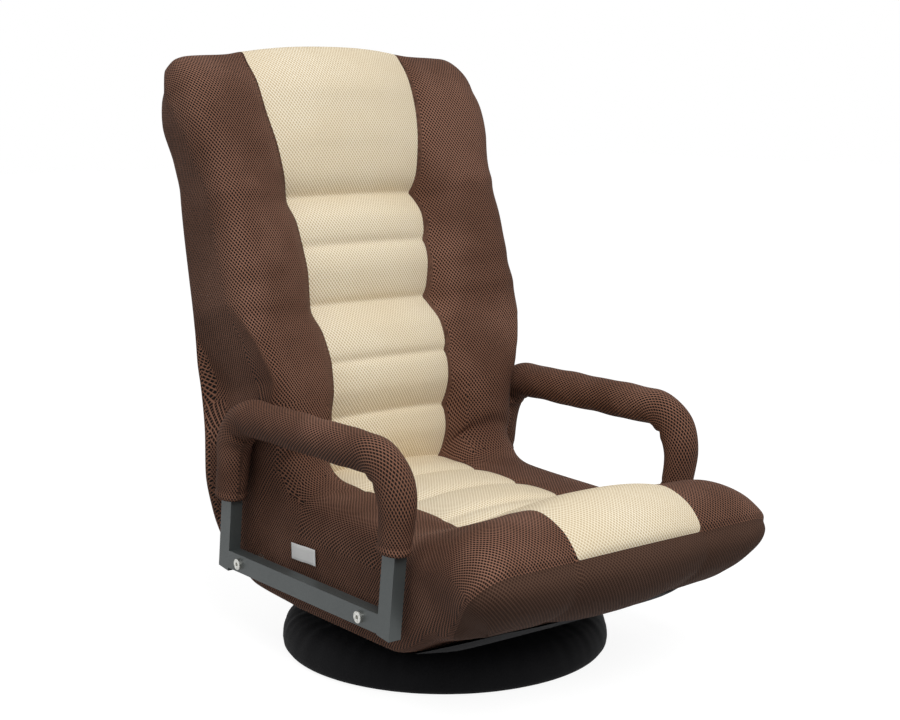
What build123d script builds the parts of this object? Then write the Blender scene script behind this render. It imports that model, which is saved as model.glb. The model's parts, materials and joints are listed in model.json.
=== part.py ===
from build123d import *
import math
import os

# Swivel floor chair: a padded seat and a ratchet backrest on a low round turning base.
# Millimetres, Z up. The origin is on the floor, on the swivel axis. The sitter faces -Y,
# and left and right are the sitter's own, so the left side is at +X.

# Clearances that several pieces share
FIT_GAP = 0.3
RUNNING_CLEARANCE = 0.05
SOFT_GAP = 1.0

# Base: a ring, crossed bars and a pedestal under a cloth cover
BASE_RADIUS = 225.0
BASE_CLOTH = 2.0
RING_TUBE = 22.0
BAR_WIDTH = 30.0
BAR_HEIGHT = 12.0
PEDESTAL_RADIUS = 66.0
PEDESTAL_WALL = 4.0
PEDESTAL_HEIGHT = 24.4
FLANGE_THICKNESS = 4.0
DOME_SHOULDER = 22.0
DOME_SIDE_RISE = 37.0
DOME_SIDE_BULGE = 4.0

# Swivel bearing
PLATE_RADIUS = 95.0
PLATE_THICKNESS = 3.0
BALL_DIAMETER = 6.4
BALL_COUNT = 24
BALL_CIRCLE = 70.0
CAGE_WIDTH = 14.0
CAGE_THICKNESS = 2.0
PIVOT_DIAMETER = 12.0
PIVOT_HEAD = 22.0
PIVOT_HEAD_HEIGHT = 4.0
SCREW_DIAMETER = 6.0
SCREW_HEAD_DIAMETER = 11.0
SCREW_HEAD_HEIGHT = 3.0
SCREW_CIRCLE = 84.0
SCREW_COUNT = 4

# Seat frame
TUBE = 25.0
WALL = 1.5
FRAME_HALF_WIDTH = 197.0
BEARER_HEIGHT = 33.5
BEARER_OFFSET = 60.0
RAIL_LENGTH = 387.0
RAIL_SHORT_OF_HINGE = 13.0
REAR_TUBE_BEFORE_HINGE = 87.0
STRAP_WIDTH = 45.0
STRAP_THICKNESS = 2.0
STRAP_COUNT = 4

# Arms
ARM_TUBE_DEPTH = 25.0
ARM_TUBE_THICKNESS = 18.0
ARM_LENGTH = 375.0
ARM_BEHIND_HINGE = 18.0
ARM_RISE = 206.0
ARM_LEAN = 7.2
ARM_BEND_RADIUS = 58.0
POST_OVERHANG = 3.0
PAD_RADIUS = 21.5
PAD_END_RISE = 85.0
BOLT_DIAMETER = 8.0
BOLT_HEAD_DIAMETER = 15.0
BOLT_HEAD_HEIGHT = 4.5
BOLT_SOCKET = 5.0
BOLT_FROM_RAIL_END = 12.5
BOLT_FROM_FRONT_POST = 47.0
NUT_WIDTH = 13.0
NUT_HEIGHT = 6.5
SPACER_DIAMETER = 16.0

# Recline hinge
HINGE_Y = 165.0
BACK_LEAN = 15.0
TOOTH_COUNT = 24
TOOTH_TIP_RADIUS = 30.0
TOOTH_ROOT_RADIUS = 25.0
TOOTH_ROOT_SHARE = 0.28
TOOTH_TIP_SHARE = 0.12
HINGE_PLATE = 4.0
HINGE_PLATE_RADIUS = 28.0
HINGE_ARM = 5.0
HINGE_SIDE_GAP = 0.5
HINGE_PIN_DIAMETER = 12.0
HINGE_PIN_HEAD = 20.0
HINGE_PIN_HEAD_HEIGHT = 3.5
HINGE_ARM_WIDTH = 24.0
HINGE_ARM_LENGTH = 175.0
PAWL_REACH = 45.0
PAWL_SET_BACK = 6.0
PAWL_BOSS_RADIUS = 8.0
PAWL_PIN_DIAMETER = 8.0
PAWL_CLEARANCE = 0.4
SPRING_WIRE = 1.2
SPRING_TURNS = 4

# Backrest frame, measured up the backrest from the hinge
BACK_TUBE = 19.0
BACK_TUBE_OFFSET = 18.0
BACK_FRAME_TILT = 3.5
BACK_FRAME_TOP = 640.0
BACK_FRAME_BOTTOM = 76.0
BACK_FRAME_BEND = 60.0
BACK_CROSS_HEIGHTS = (215.0, 425.0)
BACK_STRAP_HEIGHTS = (150.0, 285.0, 355.0, 500.0, 570.0)

# Seat upholstery
POCKET_GAP = 3.0
SEAT_SIDE_WALL = 12.0
SIDE_BULGE = 1.5
CROWN = 3.0
CUSHION_EDGE = 38.0
LOW_EDGE_LIMIT = 0.45
FOAM_UNDER_PANEL = 51.2
PANEL_THICKNESS = 26.0
SEAT_REAR_RISE = 14.0
SEAT_NOSE_RISE = 48.0
NOSE_FLARE = 16.0
SEAT_NOSE_LENGTH = 198.0
POCKET_NOSE_WALL = 128.0
POCKET_FRONT_GAP = 27.0
PANEL_HALF_WIDTH = 104.0
PANEL_EDGE_SHARE = 0.45
PANEL_MIDDLE_SHARE = 0.9
PANEL_MIDDLE_PLACE = 0.6
FIRST_SEAM_BEFORE_HINGE = 116.0
SEAT_CHANNEL_PITCH = 88.0
SEAT_CHANNEL_COUNT = 2
VALLEY_CHANNEL = 31.0
VALLEY_CROWN = 2.0
SEAT_CHANNEL_CROWN = 7.0
NOSE_CREST_BEHIND_FRONT = 79.0
NOSE_CREST_RISE = 8.0
NOSE_SLOPE_CROWN = 4.0
NOSE_ROLL_CROWN = 16.0
NOSE_SEAM_SET_BACK = 14.0
NOSE_START_SHARE = 0.28
UNDERSIDE_RISE_SHARE = 0.08
NOSE_SEAM_DROP = 41.0
DUST_COVER = 2.0
DUST_COVER_DROP = 0.5
DUST_COVER_RISE = 24.5
DUST_COVER_HOLE_GAP = 12.0
TAG_LENGTH = 58.0
TAG_HEIGHT = 22.0
TAG_THICKNESS = 0.6
TAG_CENTRE_Y = 30.0
TAG_RISE = 33.0

# Backrest upholstery, measured up the backrest from the hinge and forward of it
JOINT_ROUND = 56.0
HINGE_ROOM = 6.0
BACK_TOP = 680.0
BACK_LOWER_HEIGHT = 105.0
BACK_LOWER_FRONT = 112.0
BACK_LOWER_REAR = 68.0
ARM_CLEAR_HEIGHT = 216.0
LUMBAR_HEIGHT = 240.0
LUMBAR_FRONT = 122.0
LUMBAR_REAR = 50.0
WAIST_HEIGHT = 318.0
WAIST_FRONT = 123.0
WAIST_REAR = 34.0
RIB_HEIGHT = 400.0
RIB_FRONT = 121.0
RIB_REAR = 23.0
SHOULDER_HEIGHT = 473.0
SHOULDER_FRONT = 117.0
SHOULDER_REAR = 18.0
NECK_HEIGHT = 540.0
NECK_FRONT = 107.0
NECK_REAR = 10.0
HEAD_HEIGHT = 606.0
HEAD_FRONT = 104.0
HEAD_REAR = 12.0
BACK_REAR_FLARE = 24.0
BACK_REAR_FLARE_START = 0.1
LUMBAR_FLARE = 22.0
BACK_FLARE = 34.0
HEAD_FLARE = 46.0
BACK_PANEL_FLOOR = 40.0
BACK_CHANNELS = (84.0, 158.0, 234.0, 318.0, 400.0, 473.0, 600.0, 672.0)
BACK_CHANNEL_FRONTS = (52.0, 84.0, 106.0, 78.0, 91.0, 74.0, 107.0, 66.0)
BACK_CHANNEL_CROWNS = (4.0, 12.0, 13.0, 12.0, 12.0, 12.0, 9.0)
BOLSTER_DIP_PLACE = 0.9
BOLSTER_DIPS = (46.0, 20.0, 20.0, 46.0, 32.0, 44.0, 10.0, 3.0)
BACK_POCKET_GAP = 4.0
BACK_POCKET_START = 46.5
BACK_COVER = 2.0

# Sections that round off the seat's nose, as shares: how far along the nose, the rise of the underside
# and the fall of the top against the thickness, then the draw-in and the edge against the cushion's edge
NOSE_SECTIONS = (
    (0.57, 0.21, 0.0, 0.0, 1.0),
    (0.82, 0.38, 0.07, 0.0, 1.0),
    (0.95, 0.52, 0.19, 0.3, 0.6),
    (1.0, 0.6, 0.28, 0.7, 0.25),
)

# Sections that round off the backrest's top: the drop below it and the draw-in against the cushion's edge,
# the front against the head's and the rear against half of it, then the edge
CREST_SECTIONS = (
    (0.86, 0.1, 0.9, 0.2, 1.0),
    (0.2, 0.45, 0.7, 0.05, 0.6),
    (0.0, 0.85, 0.52, -0.2, 0.3),
)

# Heights from the floor upward
RING_CENTRE_HEIGHT = BASE_CLOTH + RING_TUBE / 2
RING_RADIUS = BASE_RADIUS - BASE_CLOTH - FIT_GAP - RING_TUBE / 2
BAR_BOTTOM = BASE_CLOTH + RING_TUBE + FIT_GAP
BAR_TOP = BAR_BOTTOM + BAR_HEIGHT
FLANGE_TOP = BAR_TOP + PEDESTAL_HEIGHT
FLANGE_BOTTOM = FLANGE_TOP - FLANGE_THICKNESS
LOWER_PLATE_TOP = FLANGE_TOP + PLATE_THICKNESS
BEARING_GAP = BALL_DIAMETER + 2 * FIT_GAP
UPPER_PLATE_BOTTOM = LOWER_PLATE_TOP + BEARING_GAP
UPPER_PLATE_TOP = UPPER_PLATE_BOTTOM + PLATE_THICKNESS
RAIL_BOTTOM = UPPER_PLATE_TOP + BEARER_HEIGHT
RAIL_TOP = RAIL_BOTTOM + TUBE
RAIL_CENTRE_HEIGHT = RAIL_BOTTOM + TUBE / 2
DUST_COVER_BOTTOM = UPPER_PLATE_BOTTOM - DUST_COVER_DROP
DUST_COVER_TOP = DUST_COVER_BOTTOM + DUST_COVER
HINGE_Z = DUST_COVER_TOP + 1.5 * SOFT_GAP + JOINT_ROUND
SEAT_BOTTOM = DUST_COVER_TOP + 2.5 * SOFT_GAP
SEAT_POCKET_TOP = RAIL_TOP + STRAP_THICKNESS + FIT_GAP
SEAT_PANEL_FLOOR = SEAT_POCKET_TOP + FOAM_UNDER_PANEL
SEAT_VALLEY = SEAT_PANEL_FLOOR + PANEL_THICKNESS
SEAT_REAR_TOP = SEAT_VALLEY + SEAT_REAR_RISE
SEAT_NOSE_TOP = SEAT_VALLEY + SEAT_NOSE_RISE

# Places from the middle outward
RAIL_INNER = FRAME_HALF_WIDTH - TUBE
SEAT_POCKET_HALF_WIDTH = FRAME_HALF_WIDTH + POCKET_GAP
SEAT_HALF_WIDTH = SEAT_POCKET_HALF_WIDTH + SEAT_SIDE_WALL
NOSE_HALF_WIDTH = SEAT_HALF_WIDTH + NOSE_FLARE
ARM_CENTRE = SEAT_HALF_WIDTH + SIDE_BULGE + SOFT_GAP + PAD_RADIUS
ARM_OUTER = ARM_CENTRE + ARM_TUBE_THICKNESS / 2
ARM_INNER = ARM_CENTRE - ARM_TUBE_THICKNESS / 2
PLATE_OUTER = RAIL_INNER
PLATE_INNER = PLATE_OUTER - HINGE_PLATE
TOOTHED_OUTER = PLATE_INNER - HINGE_SIDE_GAP
TOOTHED_INNER = TOOTHED_OUTER - HINGE_ARM
SPRING_LENGTH = 2 * SPRING_WIRE * SPRING_TURNS
SPRING_RADIUS = PAWL_PIN_DIAMETER / 2 + FIT_GAP + SPRING_WIRE
PAWL_PIN_INNER = TOOTHED_INNER - SPRING_LENGTH - 3 * SPRING_WIRE
HINGE_CAVITY_INNER = PAWL_PIN_INNER - 2 * SOFT_GAP
HINGE_CAVITY_RADIUS = JOINT_ROUND + HINGE_ROOM
BACK_UPRIGHT_CENTRE = TOOTHED_INNER - FIT_GAP - BACK_TUBE / 2
BACK_POCKET_HALF_WIDTH = TOOTHED_OUTER + BACK_POCKET_GAP
BACK_LOWER_HALF_WIDTH = SEAT_HALF_WIDTH
BACK_UPPER_HALF_WIDTH = BACK_LOWER_HALF_WIDTH + BACK_FLARE
HEAD_HALF_WIDTH = BACK_LOWER_HALF_WIDTH + HEAD_FLARE

# Places from the hinge forward
RAIL_REAR = HINGE_Y - RAIL_SHORT_OF_HINGE
RAIL_FRONT = RAIL_REAR - RAIL_LENGTH
REAR_TUBE_CENTRE = HINGE_Y - REAR_TUBE_BEFORE_HINGE
ARM_FOOT_REAR = HINGE_Y + ARM_BEHIND_HINGE
ARM_FOOT_FRONT = ARM_FOOT_REAR - ARM_LENGTH
ARM_FOOT_HEIGHT = RAIL_CENTRE_HEIGHT - ARM_TUBE_DEPTH / 2 - POST_OVERHANG
ARM_RUN = math.tan(math.radians(ARM_LEAN))
ARM_TOP_HEIGHT = RAIL_CENTRE_HEIGHT + ARM_RISE
PAD_END = RAIL_CENTRE_HEIGHT + PAD_END_RISE
BOLT_PLACES = (RAIL_REAR - BOLT_FROM_RAIL_END, ARM_FOOT_FRONT + BOLT_FROM_FRONT_POST)
SEAT_POCKET_FRONT = RAIL_FRONT - POCKET_FRONT_GAP
SEAT_FRONT = min(ARM_FOOT_FRONT - SEAT_NOSE_LENGTH, SEAT_POCKET_FRONT - POCKET_NOSE_WALL)
SEAT_PANEL_REAR = HINGE_Y - JOINT_ROUND - CROWN - 6 * SOFT_GAP
SEAT_SEAM_Y = HINGE_Y - FIRST_SEAM_BEFORE_HINGE
SEAT_VALLEY_Y = SEAT_SEAM_Y - SEAT_CHANNEL_COUNT * SEAT_CHANNEL_PITCH - VALLEY_CHANNEL
PAWL_Y = HINGE_Y - TOOTH_ROOT_RADIUS - PAWL_SET_BACK
PAWL_Z = HINGE_Z - PAWL_REACH
BACK_STRAP_FRONT = BACK_TUBE_OFFSET - BACK_TUBE / 2 - FIT_GAP - STRAP_THICKNESS
BACK_POCKET_FRONT = min(BACK_STRAP_FRONT, BACK_TUBE_OFFSET - HINGE_ARM_WIDTH / 2) - FIT_GAP
BACK_POCKET_REAR = BACK_TUBE_OFFSET + max(BACK_TUBE, HINGE_ARM_WIDTH) / 2 + FIT_GAP

SIDES = {"left": 1, "right": -1}
BACK_PLACE = Pos(0, HINGE_Y, HINGE_Z) * Rot(X=-BACK_LEAN)
BACK_FRAME_PLACE = BACK_PLACE * Rot(X=BACK_FRAME_TILT)


def block(x0, x1, y0, y1, z0, z1):
    """A box between two corners."""
    centre = Pos((x0 + x1) / 2, (y0 + y1) / 2, (z0 + z1) / 2)
    return centre * Box(abs(x1 - x0), abs(y1 - y0), abs(z1 - z0))


def rod_x(x0, x1, y, z, radius):
    """A cylinder along X."""
    return Pos((x0 + x1) / 2, y, z) * Rot(Y=90) * Cylinder(radius, abs(x1 - x0))


def rod_z(x, y, z0, z1, radius):
    """A cylinder along Z."""
    return Pos(x, y, (z0 + z1) / 2) * Cylinder(radius, z1 - z0)


def square_tube(x0, x1, y0, y1, z0, z1, along):
    """A hollow rectangular tube, open at both ends along one axis."""
    inset = [WALL, WALL, WALL]
    inset["XYZ".index(along)] = -WALL
    core = block(x0 + inset[0], x1 - inset[0], y0 + inset[1], y1 - inset[1], z0 + inset[2], z1 - inset[2])
    return block(x0, x1, y0, y1, z0, z1) - core


def side_slab(profile, x0, x1):
    """Extrudes a face drawn as (y, z) from x0 to x1."""
    return Pos(min(x0, x1), 0, 0) * extrude(Plane.YZ * profile, abs(x1 - x0))


def arc_through(start, end, bulge):
    """An arc from start to end that stands off the chord by the bulge, to its left."""
    dx = end[0] - start[0]
    dy = end[1] - start[1]
    length = math.hypot(dx, dy)
    middle = ((start[0] + end[0]) / 2 - dy / length * bulge, (start[1] + end[1]) / 2 + dx / length * bulge)
    return ThreePointArc(start, middle, end)


def outline_of(points):
    """A face bounded by straight lines."""
    return make_face(Polyline(*points, close=True))


def save(name, *solids):
    """Writes one sub-part, which is one solid or a group of like ones."""
    shape = solids[0] if len(solids) == 1 else Compound(children=list(solids))
    shape.label = name
    export_step(shape, "parts/" + name + ".step")


# The base
def base_ring():
    return Pos(0, 0, RING_CENTRE_HEIGHT) * Torus(RING_RADIUS, RING_TUBE / 2)


def base_bars():
    """Two bars crossed over the ring."""
    half = BAR_WIDTH / 2
    bars = block(-RING_RADIUS, RING_RADIUS, -half, half, BAR_BOTTOM, BAR_TOP)
    return bars + block(-half, half, -RING_RADIUS, RING_RADIUS, BAR_BOTTOM, BAR_TOP)


def base_pedestal():
    """A short flanged pipe that lifts the bearing above the bars."""
    pedestal = rod_z(0, 0, BAR_TOP, FLANGE_TOP, PEDESTAL_RADIUS)
    pedestal += rod_z(0, 0, FLANGE_BOTTOM, FLANGE_TOP, PLATE_RADIUS)
    pedestal -= rod_z(0, 0, BAR_TOP, FLANGE_TOP, PEDESTAL_RADIUS - PEDESTAL_WALL)
    return pedestal - screw_holes(FLANGE_BOTTOM, FLANGE_TOP)


def screw_places():
    turn = 2 * math.pi / SCREW_COUNT
    return [(SCREW_CIRCLE * math.cos(i * turn), SCREW_CIRCLE * math.sin(i * turn)) for i in range(SCREW_COUNT)]


def screw_holes(z0, z1):
    return [rod_z(x, y, z0, z1, SCREW_DIAMETER / 2 + FIT_GAP) for x, y in screw_places()]


def base_cover():
    """Cloth over the ring, closed flat underneath, drawn in to a mouth round the bearing."""
    mouth_radius = PLATE_RADIUS + FIT_GAP
    roof = LOWER_PLATE_TOP

    def filled(inset):
        edge = (BASE_RADIUS - inset, RING_CENTRE_HEIGHT)
        shoulder = (BASE_RADIUS - DOME_SHOULDER - inset, RING_CENTRE_HEIGHT + DOME_SIDE_RISE)
        mouth = (mouth_radius, roof - inset)
        foot = (edge[0], inset)
        outline = Curve() + [
            Line(foot, edge),
            arc_through(edge, shoulder, -DOME_SIDE_BULGE),
            Line(shoulder, mouth),
            Line(mouth, (0, mouth[1])),
            Line((0, mouth[1]), (0, inset)),
            Line((0, inset), foot),
        ]
        return revolve(Plane.XZ * make_face(outline), Axis.Z)

    return filled(0) - filled(BASE_CLOTH) - rod_z(0, 0, BAR_TOP, roof, mouth_radius)


# The swivel bearing
def swivel_plate(z0, hole_radius):
    plate = rod_z(0, 0, z0, z0 + PLATE_THICKNESS, PLATE_RADIUS)
    return plate - rod_z(0, 0, z0, z0 + PLATE_THICKNESS, hole_radius)


def swivel_lower_plate():
    plate = swivel_plate(FLANGE_TOP, PIVOT_DIAMETER / 2 + RUNNING_CLEARANCE)
    return plate - screw_holes(FLANGE_TOP, LOWER_PLATE_TOP)


def ball_turns():
    return [Rot(Z=360 * i / BALL_COUNT) for i in range(BALL_COUNT)]


def swivel_balls():
    height = LOWER_PLATE_TOP + BEARING_GAP / 2
    return [turn * Pos(BALL_CIRCLE, 0, height) * Sphere(BALL_DIAMETER / 2) for turn in ball_turns()]


def swivel_cage():
    low = LOWER_PLATE_TOP + (BEARING_GAP - CAGE_THICKNESS) / 2
    high = low + CAGE_THICKNESS
    ring = rod_z(0, 0, low, high, BALL_CIRCLE + CAGE_WIDTH / 2)
    ring -= rod_z(0, 0, low, high, BALL_CIRCLE - CAGE_WIDTH / 2)
    hole = rod_z(BALL_CIRCLE, 0, low, high, BALL_DIAMETER / 2 + FIT_GAP)
    return ring - [turn * hole for turn in ball_turns()]


def swivel_pivot():
    """A headed pin through both plates."""
    top = UPPER_PLATE_TOP + FIT_GAP
    pin = rod_z(0, 0, FLANGE_TOP, top, PIVOT_DIAMETER / 2)
    pin += rod_z(0, 0, top, top + PIVOT_HEAD_HEIGHT, PIVOT_HEAD / 2)
    return pin + rod_z(0, 0, FLANGE_TOP - PIVOT_HEAD_HEIGHT, FLANGE_TOP, PIVOT_HEAD / 2)


def swivel_screws():
    head_low = FLANGE_BOTTOM - SCREW_HEAD_HEIGHT
    screws = []
    for x, y in screw_places():
        shank = rod_z(x, y, FLANGE_BOTTOM, LOWER_PLATE_TOP, SCREW_DIAMETER / 2)
        screws.append(shank + rod_z(x, y, head_low, FLANGE_BOTTOM, SCREW_HEAD_DIAMETER / 2))
    return screws


# The seat frame
def bolt_holes(x0, x1, radius):
    return [rod_x(x0, x1, y, RAIL_CENTRE_HEIGHT, radius) for y in BOLT_PLACES]


def seat_rail(side):
    low, high = sorted((side * RAIL_INNER, side * FRAME_HALF_WIDTH))
    rail = square_tube(low, high, RAIL_FRONT, RAIL_REAR, RAIL_BOTTOM, RAIL_TOP, "Y")
    inner = side * (FRAME_HALF_WIDTH - 2 * WALL)
    return rail - bolt_holes(inner, side * FRAME_HALF_WIDTH, BOLT_DIAMETER / 2 + FIT_GAP)


def cross_tube(y):
    return square_tube(-RAIL_INNER, RAIL_INNER, y - TUBE / 2, y + TUBE / 2, RAIL_BOTTOM, RAIL_TOP, "X")


def swivel_bearers():
    """Two tubes on edge that carry the rails on the swivel's upper plate."""
    reach = FRAME_HALF_WIDTH
    half = TUBE / 2
    places = (-BEARER_OFFSET, BEARER_OFFSET)
    return [square_tube(-reach, reach, y - half, y + half, UPPER_PLATE_TOP, RAIL_BOTTOM, "X") for y in places]


def seat_straps():
    """Flat elastic straps stretched from rail to rail."""
    first = RAIL_FRONT + TUBE + STRAP_WIDTH
    last = REAR_TUBE_CENTRE - TUBE / 2 - STRAP_WIDTH
    step = (last - first) / (STRAP_COUNT - 1)
    top = RAIL_TOP + STRAP_THICKNESS
    straps = []
    for i in range(STRAP_COUNT):
        front = first + i * step - STRAP_WIDTH / 2
        straps.append(block(-FRAME_HALF_WIDTH, FRAME_HALF_WIDTH, front, front + STRAP_WIDTH, RAIL_TOP, top))
    return straps


# The arms: a bent tube with a bar along its foot, a padded sleeve and two bolts
def arm_point(foot, height):
    """A point on an arm's post centre line, as (y, z)."""
    return (foot - ARM_RUN * (height - ARM_FOOT_HEIGHT), height)


def arm_path(end_height):
    """The arm's centre line, from one height on the rear post round to the same on the front post."""
    corners = [
        arm_point(ARM_FOOT_REAR, end_height),
        arm_point(ARM_FOOT_REAR, ARM_TOP_HEIGHT),
        arm_point(ARM_FOOT_FRONT, ARM_TOP_HEIGHT),
        arm_point(ARM_FOOT_FRONT, end_height),
    ]
    return FilletPolyline(*[(0, y, z) for y, z in corners], radius=ARM_BEND_RADIUS)


def along_path(path, section):
    """Sweeps a section, drawn with X across the chair, along a path in the YZ plane."""
    start = Plane(origin=path @ 0, x_dir=(1, 0, 0), z_dir=path % 0)
    return sweep(start * section, path=path)


def arm_frame(side):
    path = arm_path(ARM_FOOT_HEIGHT)
    outer = along_path(path, Rectangle(ARM_TUBE_THICKNESS, ARM_TUBE_DEPTH))
    bore = along_path(path, Rectangle(ARM_TUBE_THICKNESS - 2 * WALL, ARM_TUBE_DEPTH - 2 * WALL))
    half = ARM_TUBE_THICKNESS / 2
    bar_low = RAIL_CENTRE_HEIGHT - ARM_TUBE_DEPTH / 2
    rear = arm_point(ARM_FOOT_REAR, RAIL_CENTRE_HEIGHT)[0]
    front = arm_point(ARM_FOOT_FRONT, RAIL_CENTRE_HEIGHT)[0]
    bar = square_tube(-half, half, front, rear, bar_low, bar_low + ARM_TUBE_DEPTH, "Y")
    frame = (outer - bore) + (bar - outer)
    return Pos(side * ARM_CENTRE, 0, 0) * (frame - bolt_holes(-half, half, BOLT_DIAMETER / 2 + FIT_GAP))


def arm_pad(side):
    hole = Rectangle(ARM_TUBE_THICKNESS + 2 * FIT_GAP, ARM_TUBE_DEPTH + 2 * FIT_GAP)
    return Pos(side * ARM_CENTRE, 0, 0) * along_path(arm_path(PAD_END), Circle(PAD_RADIUS) - hole)


def hexagon(width, length):
    """A six-sided bar along X, from the origin."""
    return extrude(Plane.YZ * RegularPolygon(width / 2, 6, major_radius=False), length)


def arm_bolts(side):
    tip = FRAME_HALF_WIDTH - WALL - NUT_HEIGHT
    head_end = ARM_OUTER + BOLT_HEAD_HEIGHT
    depth = BOLT_HEAD_HEIGHT / 2
    socket_start = head_end - depth if side > 0 else -head_end
    bolts = []
    for y in BOLT_PLACES:
        bolt = rod_x(side * tip, side * ARM_OUTER, y, RAIL_CENTRE_HEIGHT, BOLT_DIAMETER / 2)
        bolt += rod_x(side * ARM_OUTER, side * head_end, y, RAIL_CENTRE_HEIGHT, BOLT_HEAD_DIAMETER / 2)
        bolts.append(bolt - Pos(socket_start, y, RAIL_CENTRE_HEIGHT) * hexagon(BOLT_SOCKET, depth))
    return bolts


def arm_spacers(side):
    inner = side * FRAME_HALF_WIDTH
    outer = side * ARM_INNER
    bores = bolt_holes(inner, outer, BOLT_DIAMETER / 2 + FIT_GAP)
    return [tube - bore for tube, bore in zip(bolt_holes(inner, outer, SPACER_DIAMETER / 2), bores)]


def arm_nuts(side):
    outer = FRAME_HALF_WIDTH - WALL
    start = outer - NUT_HEIGHT if side > 0 else -outer
    bores = bolt_holes(start, start + NUT_HEIGHT, BOLT_DIAMETER / 2 + FIT_GAP)
    nut = Pos(start, 0, RAIL_CENTRE_HEIGHT) * hexagon(NUT_WIDTH, NUT_HEIGHT)
    return [Pos(0, y, 0) * nut - bore for y, bore in zip(BOLT_PLACES, bores)]


# The recline hinge: a plate on the rail, a toothed arm on the backrest, a pin, a pawl and its spring
def hinge_plate(side):
    start = REAR_TUBE_CENTRE + TUBE / 2
    web_height = RAIL_CENTRE_HEIGHT - PAWL_Z
    shape = Pos(HINGE_Y, HINGE_Z) * Circle(HINGE_PLATE_RADIUS)
    shape += Pos((start + HINGE_Y) / 2, RAIL_CENTRE_HEIGHT) * Rectangle(HINGE_Y - start, TUBE)
    shape += Pos(PAWL_Y, PAWL_Z) * Circle(PAWL_BOSS_RADIUS)
    shape += Pos(PAWL_Y, PAWL_Z + web_height / 2) * Rectangle(2 * PAWL_BOSS_RADIUS, web_height)
    shape -= Pos(HINGE_Y, HINGE_Z) * Circle(HINGE_PIN_DIAMETER / 2 + RUNNING_CLEARANCE)
    shape -= Pos(PAWL_Y, PAWL_Z) * Circle(PAWL_PIN_DIAMETER / 2 + RUNNING_CLEARANCE)
    return side_slab(shape, side * PLATE_INNER, side * PLATE_OUTER)


def hinge_arm(side):
    """A toothed disc round the pin with a strap up to the backrest's upright."""
    pitch = 2 * math.pi / TOOTH_COUNT
    corners = ((TOOTH_ROOT_RADIUS, -TOOTH_ROOT_SHARE), (TOOTH_TIP_RADIUS, -TOOTH_TIP_SHARE),
               (TOOTH_TIP_RADIUS, TOOTH_TIP_SHARE), (TOOTH_ROOT_RADIUS, TOOTH_ROOT_SHARE))
    points = []
    for i in range(TOOTH_COUNT):
        for radius, share in corners:
            angle = (i + 0.5 + share) * pitch - math.radians(BACK_LEAN)
            points.append((radius * math.cos(angle), radius * math.sin(angle)))
    disc = Pos(HINGE_Y, HINGE_Z) * outline_of(points)
    strap = Pos(BACK_TUBE_OFFSET, HINGE_ARM_LENGTH / 2) * Rectangle(HINGE_ARM_WIDTH, HINGE_ARM_LENGTH)
    shape = disc + Pos(HINGE_Y, HINGE_Z) * Rot(Z=BACK_FRAME_TILT - BACK_LEAN) * strap
    shape -= Pos(HINGE_Y, HINGE_Z) * Circle(HINGE_PIN_DIAMETER / 2 + RUNNING_CLEARANCE)
    return side_slab(shape, side * TOOTHED_INNER, side * TOOTHED_OUTER)


def hinge_pin(side):
    inner = TOOTHED_INNER - FIT_GAP
    outer = PLATE_OUTER + FIT_GAP
    radius = HINGE_PIN_HEAD / 2
    pin = rod_x(side * inner, side * outer, HINGE_Y, HINGE_Z, HINGE_PIN_DIAMETER / 2)
    pin += rod_x(side * (inner - HINGE_PIN_HEAD_HEIGHT), side * inner, HINGE_Y, HINGE_Z, radius)
    return pin + rod_x(side * outer, side * (outer + HINGE_PIN_HEAD_HEIGHT), HINGE_Y, HINGE_Z, radius)


def pawl(side):
    """A lever whose wedge sits between two teeth and swings clear on its own pin."""
    pitch = 2 * math.pi / TOOTH_COUNT
    tip = TOOTH_ROOT_RADIUS + PAWL_CLEARANCE
    heel = TOOTH_TIP_RADIUS + 2 * PAWL_CLEARANCE
    tip_half = tip * math.sin((0.5 - TOOTH_ROOT_SHARE) * pitch) - PAWL_CLEARANCE
    heel_half = heel * math.sin((0.5 - TOOTH_TIP_SHARE) * pitch) - PAWL_CLEARANCE
    outline = [
        (HINGE_Y - tip, HINGE_Z + tip_half),
        (HINGE_Y - heel, HINGE_Z + heel_half),
        (HINGE_Y - heel - PAWL_BOSS_RADIUS, HINGE_Z + heel_half),
        (PAWL_Y - PAWL_BOSS_RADIUS, PAWL_Z),
        (PAWL_Y + PAWL_BOSS_RADIUS / 2, PAWL_Z),
        (HINGE_Y - heel, HINGE_Z - heel_half),
        (HINGE_Y - tip, HINGE_Z - tip_half),
    ]
    shape = outline_of(outline) + Pos(PAWL_Y, PAWL_Z) * Circle(PAWL_BOSS_RADIUS)
    shape -= Pos(HINGE_Y, HINGE_Z) * Circle(tip)
    shape -= Pos(PAWL_Y, PAWL_Z) * Circle(PAWL_PIN_DIAMETER / 2 + RUNNING_CLEARANCE)
    return side_slab(shape, side * TOOTHED_INNER, side * TOOTHED_OUTER)


def pawl_pin(side):
    return rod_x(side * PAWL_PIN_INNER, side * PLATE_OUTER, PAWL_Y, PAWL_Z, PAWL_PIN_DIAMETER / 2)


def pawl_spring(side):
    """A torsion coil round the pawl's pin, beside the pawl."""
    coil = Helix(pitch=2 * SPRING_WIRE, height=SPRING_LENGTH, radius=SPRING_RADIUS)
    wire = Plane(origin=coil @ 0, z_dir=coil % 0) * Circle(SPRING_WIRE / 2)
    spring = Rot(Y=90) * sweep(wire, path=coil, is_frenet=True)
    start = TOOTHED_INNER - SPRING_LENGTH - SPRING_WIRE
    place = start if side > 0 else -start - SPRING_LENGTH
    return Pos(place, PAWL_Y, PAWL_Z) * spring


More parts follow.
